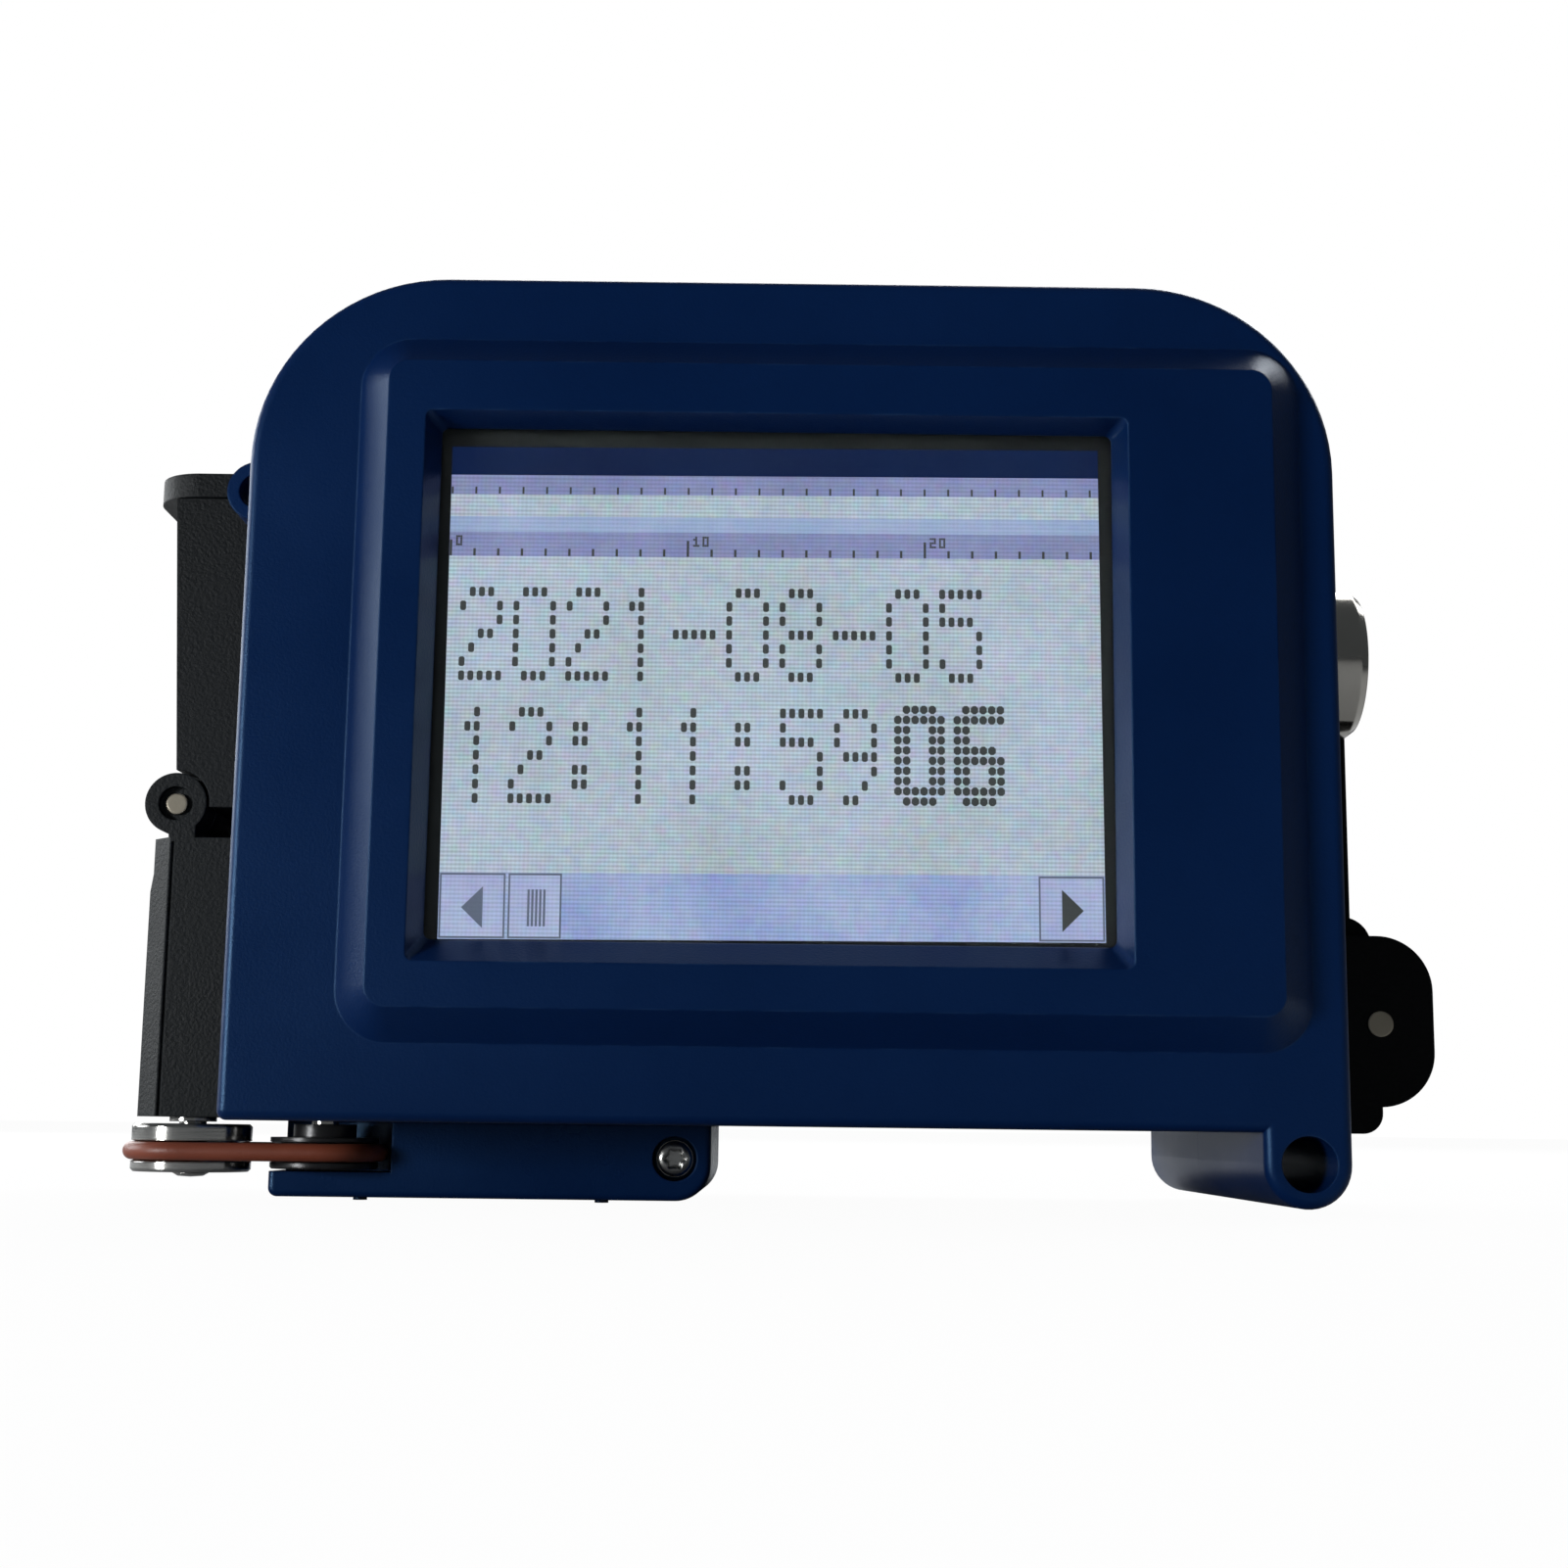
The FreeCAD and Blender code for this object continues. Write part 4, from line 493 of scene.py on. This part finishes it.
def turned_effect():
    """Turning marks: fine rings along one axis of a lathe-turned piece."""
    group, given, out = effect(
        "turned_rings", [("Pitch", "NodeSocketFloat", 0.0002)],
        [("Height", "NodeSocketFloat")])
    where = add(group, "ShaderNodeTexCoord").outputs["Object"]
    stretch = add(group, "ShaderNodeVectorMath", [(0, where), (1, (40.0, 40.0, 1.0))], operation="DIVIDE")
    rings = add(group, "ShaderNodeTexNoise", [("Vector", stretch.outputs[0]), ("Detail", 3.0),
                                              ("Scale", one_over(group, given.outputs["Pitch"]))])
    group.links.new(rings.outputs[0], out.inputs["Height"])
    return group


TURNED = turned_effect()


def turned_finish(name, dark, light, roughness, pitch, depth):
    """A lathe-turned metal."""
    material = finish_of(name, dark, light, light, roughness, pebble=0.0002, bump=0.01, metallic=1.0,
                         worn_roughness=roughness)
    tree = material.node_tree
    shader = tree.nodes["Principled BSDF"]
    rings = place(tree, TURNED, Pitch=pitch)
    relief = add(tree, "ShaderNodeBump", [("Strength", depth), ("Distance", pitch),
                                          ("Height", rings.outputs["Height"]),
                                          ("Normal", shader.inputs["Normal"].links[0].from_socket)])
    tree.links.new(relief.outputs[0], shader.inputs["Normal"])
    return material


roller_steel = turned_finish("roller_steel", (0.46, 0.45, 0.43), (0.56, 0.55, 0.52), 0.13,
                             pitch=0.0002, depth=0.012)
dress(roller_steel, "measuring_roller", "roller_bearings", "roller_axle", "encoder_shaft", "encoder_magnet",
      "clamp_screw", "button_nut", "button_spring", "data_socket")
pulley_black = finish_of("pulley_black", (0.009, 0.009, 0.010), (0.014, 0.014, 0.016),
                         (0.06, 0.06, 0.06), 0.3, pebble=0.0003, bump=0.06)
dress(pulley_black, "encoder_pulley")
bronze_bush = finish_of("bronze_bush", (0.42, 0.22, 0.07), (0.55, 0.32, 0.12), (0.65, 0.45, 0.2), 0.4,
                        pebble=0.0002, bump=0.1, metallic=1.0)
dress(bronze_bush, "encoder_bushes")
belt_silicone = finish_of("belt_silicone", (0.20, 0.045, 0.022), (0.28, 0.07, 0.035),
                          (0.33, 0.12, 0.07), 0.42, pebble=0.0003, bump=0.12, drift=0.01)
dress(belt_silicone, "drive_belt")

# ------------------------------------------------------------------ encoder bracket and rear hatch
# A cast bracket under the case carries the encoder, and a flat hatch closes the cartridge's mouth. Both
# are coated like the covers, a shade darker.
bracket_blue = finish_of("bracket_blue", (0.0009, 0.012, 0.060), (0.0012, 0.015, 0.072),
                         (0.02, 0.05, 0.14), 0.3, pebble=0.0003, bump=0.14, drift=0.02, gloss=0.42,
                         sheen=COAT_SHEEN)
dress(bracket_blue, "encoder_bracket", "rear_hatch")

# ------------------------------------------------------------------ clamp screw head
# The screw that clamps the encoder bracket is a domed steel button head with a six-lobed socket. The
# socket is stamped in, so its rim is a little rolled over.
clamp_low, clamp_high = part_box("clamp_screw")
CLAMP_X, CLAMP_Z = (clamp_low.x + clamp_high.x) / 2, (clamp_low.z + clamp_high.z) / 2
CLAMP_RADIUS = (clamp_high.x - clamp_low.x) / 2
CLAMP_STEPS, SOCKET_LOBES = 48, 6
# each ring of the head: its radius as a share of the head's, the depth of its lobes, its height in mm
CLAMP_RINGS = ((0.97, 0, 0.0), (0.97, 0, 0.18), (0.93, 0, 0.34), (0.84, 0, 0.5), (0.72, 0, 0.6),
               (0.60, 0, 0.64), (0.54, 0.12, 0.62), (0.50, 0.16, 0.52), (0.48, 0.16, 0.04))


def head_ring(mesh, share, lobes, height):
    """One ring of corners round the screw's axis, waved by the lobes of its socket."""
    ring = []
    for step in range(CLAMP_STEPS):
        angle = 2 * math.pi * step / CLAMP_STEPS
        radius = CLAMP_RADIUS * share * (1 + lobes * math.cos(SOCKET_LOBES * angle))
        ring.append(mesh.verts.new((CLAMP_X + radius * math.cos(angle), clamp_low.y - height * MM,
                                    CLAMP_Z + radius * math.sin(angle))))
    return ring


head = bmesh.new()
rings = [head_ring(head, *ring) for ring in CLAMP_RINGS]
head.faces.new(rings[0][::-1])
for lower, upper in zip(rings, rings[1:]):
    for step in range(CLAMP_STEPS):
        after = (step + 1) % CLAMP_STEPS
        head.faces.new((lower[step], lower[after], upper[after], upper[step])).smooth = True
head.faces.new(rings[-1])
bmesh.ops.recalc_face_normals(head, faces=head.faces)
clamp_head = new_piece("clamp_head", head)
clamp_steel = finish_of("clamp_steel", (0.42, 0.42, 0.40), (0.56, 0.55, 0.53), (0.7, 0.7, 0.68), 0.24,
                        pebble=0.0002, bump=0.04, metallic=1.0, worn_roughness=0.2)
clamp_head.data.materials.append(clamp_steel)
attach(clamp_head, "casing")

# ------------------------------------------------------------------ trigger button
# A metal push button with a polished stainless bezel and cap, held by a ring nut inside the case. The
# cap slides in a little against a spring.
button_chrome = finish_of("button_chrome", (0.42, 0.40, 0.36), (0.52, 0.50, 0.46), (0.6, 0.59, 0.56), 0.12,
                          pebble=0.0003, bump=0.01, metallic=1.0, worn_roughness=0.2)
dress(button_chrome, "button_bezel", "button_cap")

# ------------------------------------------------------------------ battery, its frame and its door
# A shrink-wrapped battery slides in from the right. The black frame around the mouth carries a pin on
# two ears, and the moulded door swings down on it.
door_black = finish_of("door_black", (0.0012, 0.0015, 0.002), (0.0022, 0.0026, 0.0034),
                       (0.015, 0.018, 0.02), 0.6, pebble=0.0004, bump=0.2, drift=0.015, gloss=0.12)
dress(door_black, "door_frame", "battery_door")
wrap_film = finish_of("wrap_film", (0.012, 0.02, 0.045), (0.018, 0.03, 0.06), (0.08, 0.1, 0.15), 0.22,
                      pebble=0.002, bump=0.1)
dress(wrap_film, "battery_pack")

# ------------------------------------------------------------------ sockets
# A metal-shelled data socket and a moulded power socket on a small board at the back of the top. The
# shell has the roller's bare steel, so only the power socket needs a finish of its own.
socket_black = finish_of("socket_black", (0.008, 0.008, 0.009), (0.012, 0.012, 0.013),
                         (0.05, 0.05, 0.05), 0.4)
dress(socket_black, "power_socket")

# ------------------------------------------------------------------ floor, lights and camera
# A pale table in a white room, with a small soft light low at the front left, a wider one at the left
# and three behind. Only the camera sees the room white: the blue front has dark surroundings to reflect.
bpy.context.scene.view_settings.view_transform = "Standard"
FLOOR_REACH = 6.0
FLOOR_GLOW, FLOOR_GLOW_SHARE = 1.03, 0.94
ROOM_SHED = 0.08
floor_plane = bmesh.new()
bmesh.ops.create_grid(floor_plane, x_segments=2, y_segments=2, size=FLOOR_REACH)
floor = new_piece("floor", floor_plane)
floor.location.z = model_low.z
floor_white, floor_tree, floor_shader = new_material("floor_white")
floor_shader.inputs["Base Color"].default_value = (0.42, 0.43, 0.44, 1)
floor_shader.inputs["Roughness"].default_value = 0.9
floor_shader.inputs["Specular IOR Level"].default_value = 0.1
floor_glow = add(floor_tree, "ShaderNodeEmission", [("Color", (1, 1, 1, 1)), ("Strength", FLOOR_GLOW)])
floor_seen = add(floor_tree, "ShaderNodeLightPath")
floor_share = add(floor_tree, "ShaderNodeMath",
                  [(0, floor_seen.outputs["Is Camera Ray"]), (1, FLOOR_GLOW_SHARE)], operation="MULTIPLY")
floor_mix = add(floor_tree, "ShaderNodeMixShader",
                [(0, floor_share.outputs[0]), (1, floor_shader.outputs[0]), (2, floor_glow.outputs[0])])
floor_tree.links.new(floor_mix.outputs[0], floor_tree.nodes["Material Output"].inputs["Surface"])
floor.data.materials.append(floor_white)

room = bpy.data.worlds.new("room")
bpy.context.scene.world = room
room.use_nodes = True
room_tree = room.node_tree
room_tree.nodes.clear()
seen = add(room_tree, "ShaderNodeBackground", [("Color", (1, 1, 1, 1)), ("Strength", 1.0)])
shed = add(room_tree, "ShaderNodeBackground", [("Color", (0.86, 0.94, 1, 1)), ("Strength", ROOM_SHED)])
ray = add(room_tree, "ShaderNodeLightPath")
sky = add(room_tree, "ShaderNodeMixShader", [(0, ray.outputs["Is Camera Ray"]), (1, shed.outputs[0]),
                                             (2, seen.outputs[0])])
add(room_tree, "ShaderNodeOutputWorld", [(0, sky.outputs[0])])


def soft_light(name, place_from, aim, size, power, colour=(1, 1, 1)):
    """A soft box of light aimed at a point."""
    data = bpy.data.lights.new(name, "AREA")
    data.shape = "RECTANGLE"
    data.size, data.size_y = size
    data.energy = power
    data.color = colour
    lamp = bpy.data.objects.new(name, data)
    bpy.context.scene.collection.objects.link(lamp)
    lamp.location = place_from
    lamp.rotation_mode = "QUATERNION"
    lamp.rotation_quaternion = (Vector(aim) - Vector(place_from)).to_track_quat("-Z", "Y")


MIDDLE = (0, 0, 0.05)
soft_light("window_left", (-0.66, -0.58, 0.05), MIDDLE, (0.2, 0.22), 5.6, (0.96, 0.98, 1))
soft_light("side_window", (-0.9, 0.25, 0.3), MIDDLE, (0.5, 0.4), 4.0, (0.95, 0.98, 1))
soft_light("ceiling", (0.1, 0.85, 0.75), MIDDLE, (0.8, 0.6), 5.0)
soft_light("back_right", (0.5, 0.6, 0.85), MIDDLE, (0.6, 0.6), 7.0)
soft_light("back_left", (-0.5, 0.9, 0.45), MIDDLE, (0.6, 0.6), 5.0)

camera_data = bpy.data.cameras.new("camera")
camera_data.sensor_width = 36.0
camera_data.lens = 49.47
camera_data.clip_start = 10 * MM
camera = bpy.data.objects.new("camera", camera_data)
bpy.context.scene.collection.objects.link(camera)
camera.location = (-1.5 * MM, -259.5 * MM, 8.9 * MM)
CAMERA_PITCH, CAMERA_ROLL = math.radians(9.04), math.radians(0.7)
camera.rotation_mode = "QUATERNION"
looking = Vector((0, math.cos(CAMERA_PITCH), math.sin(CAMERA_PITCH)))
camera.rotation_quaternion = looking.to_track_quat("-Z", "Y")
camera.rotation_mode = "XYZ"
camera.rotation_euler.rotate_axis("Z", CAMERA_ROLL)
bpy.context.scene.camera = camera
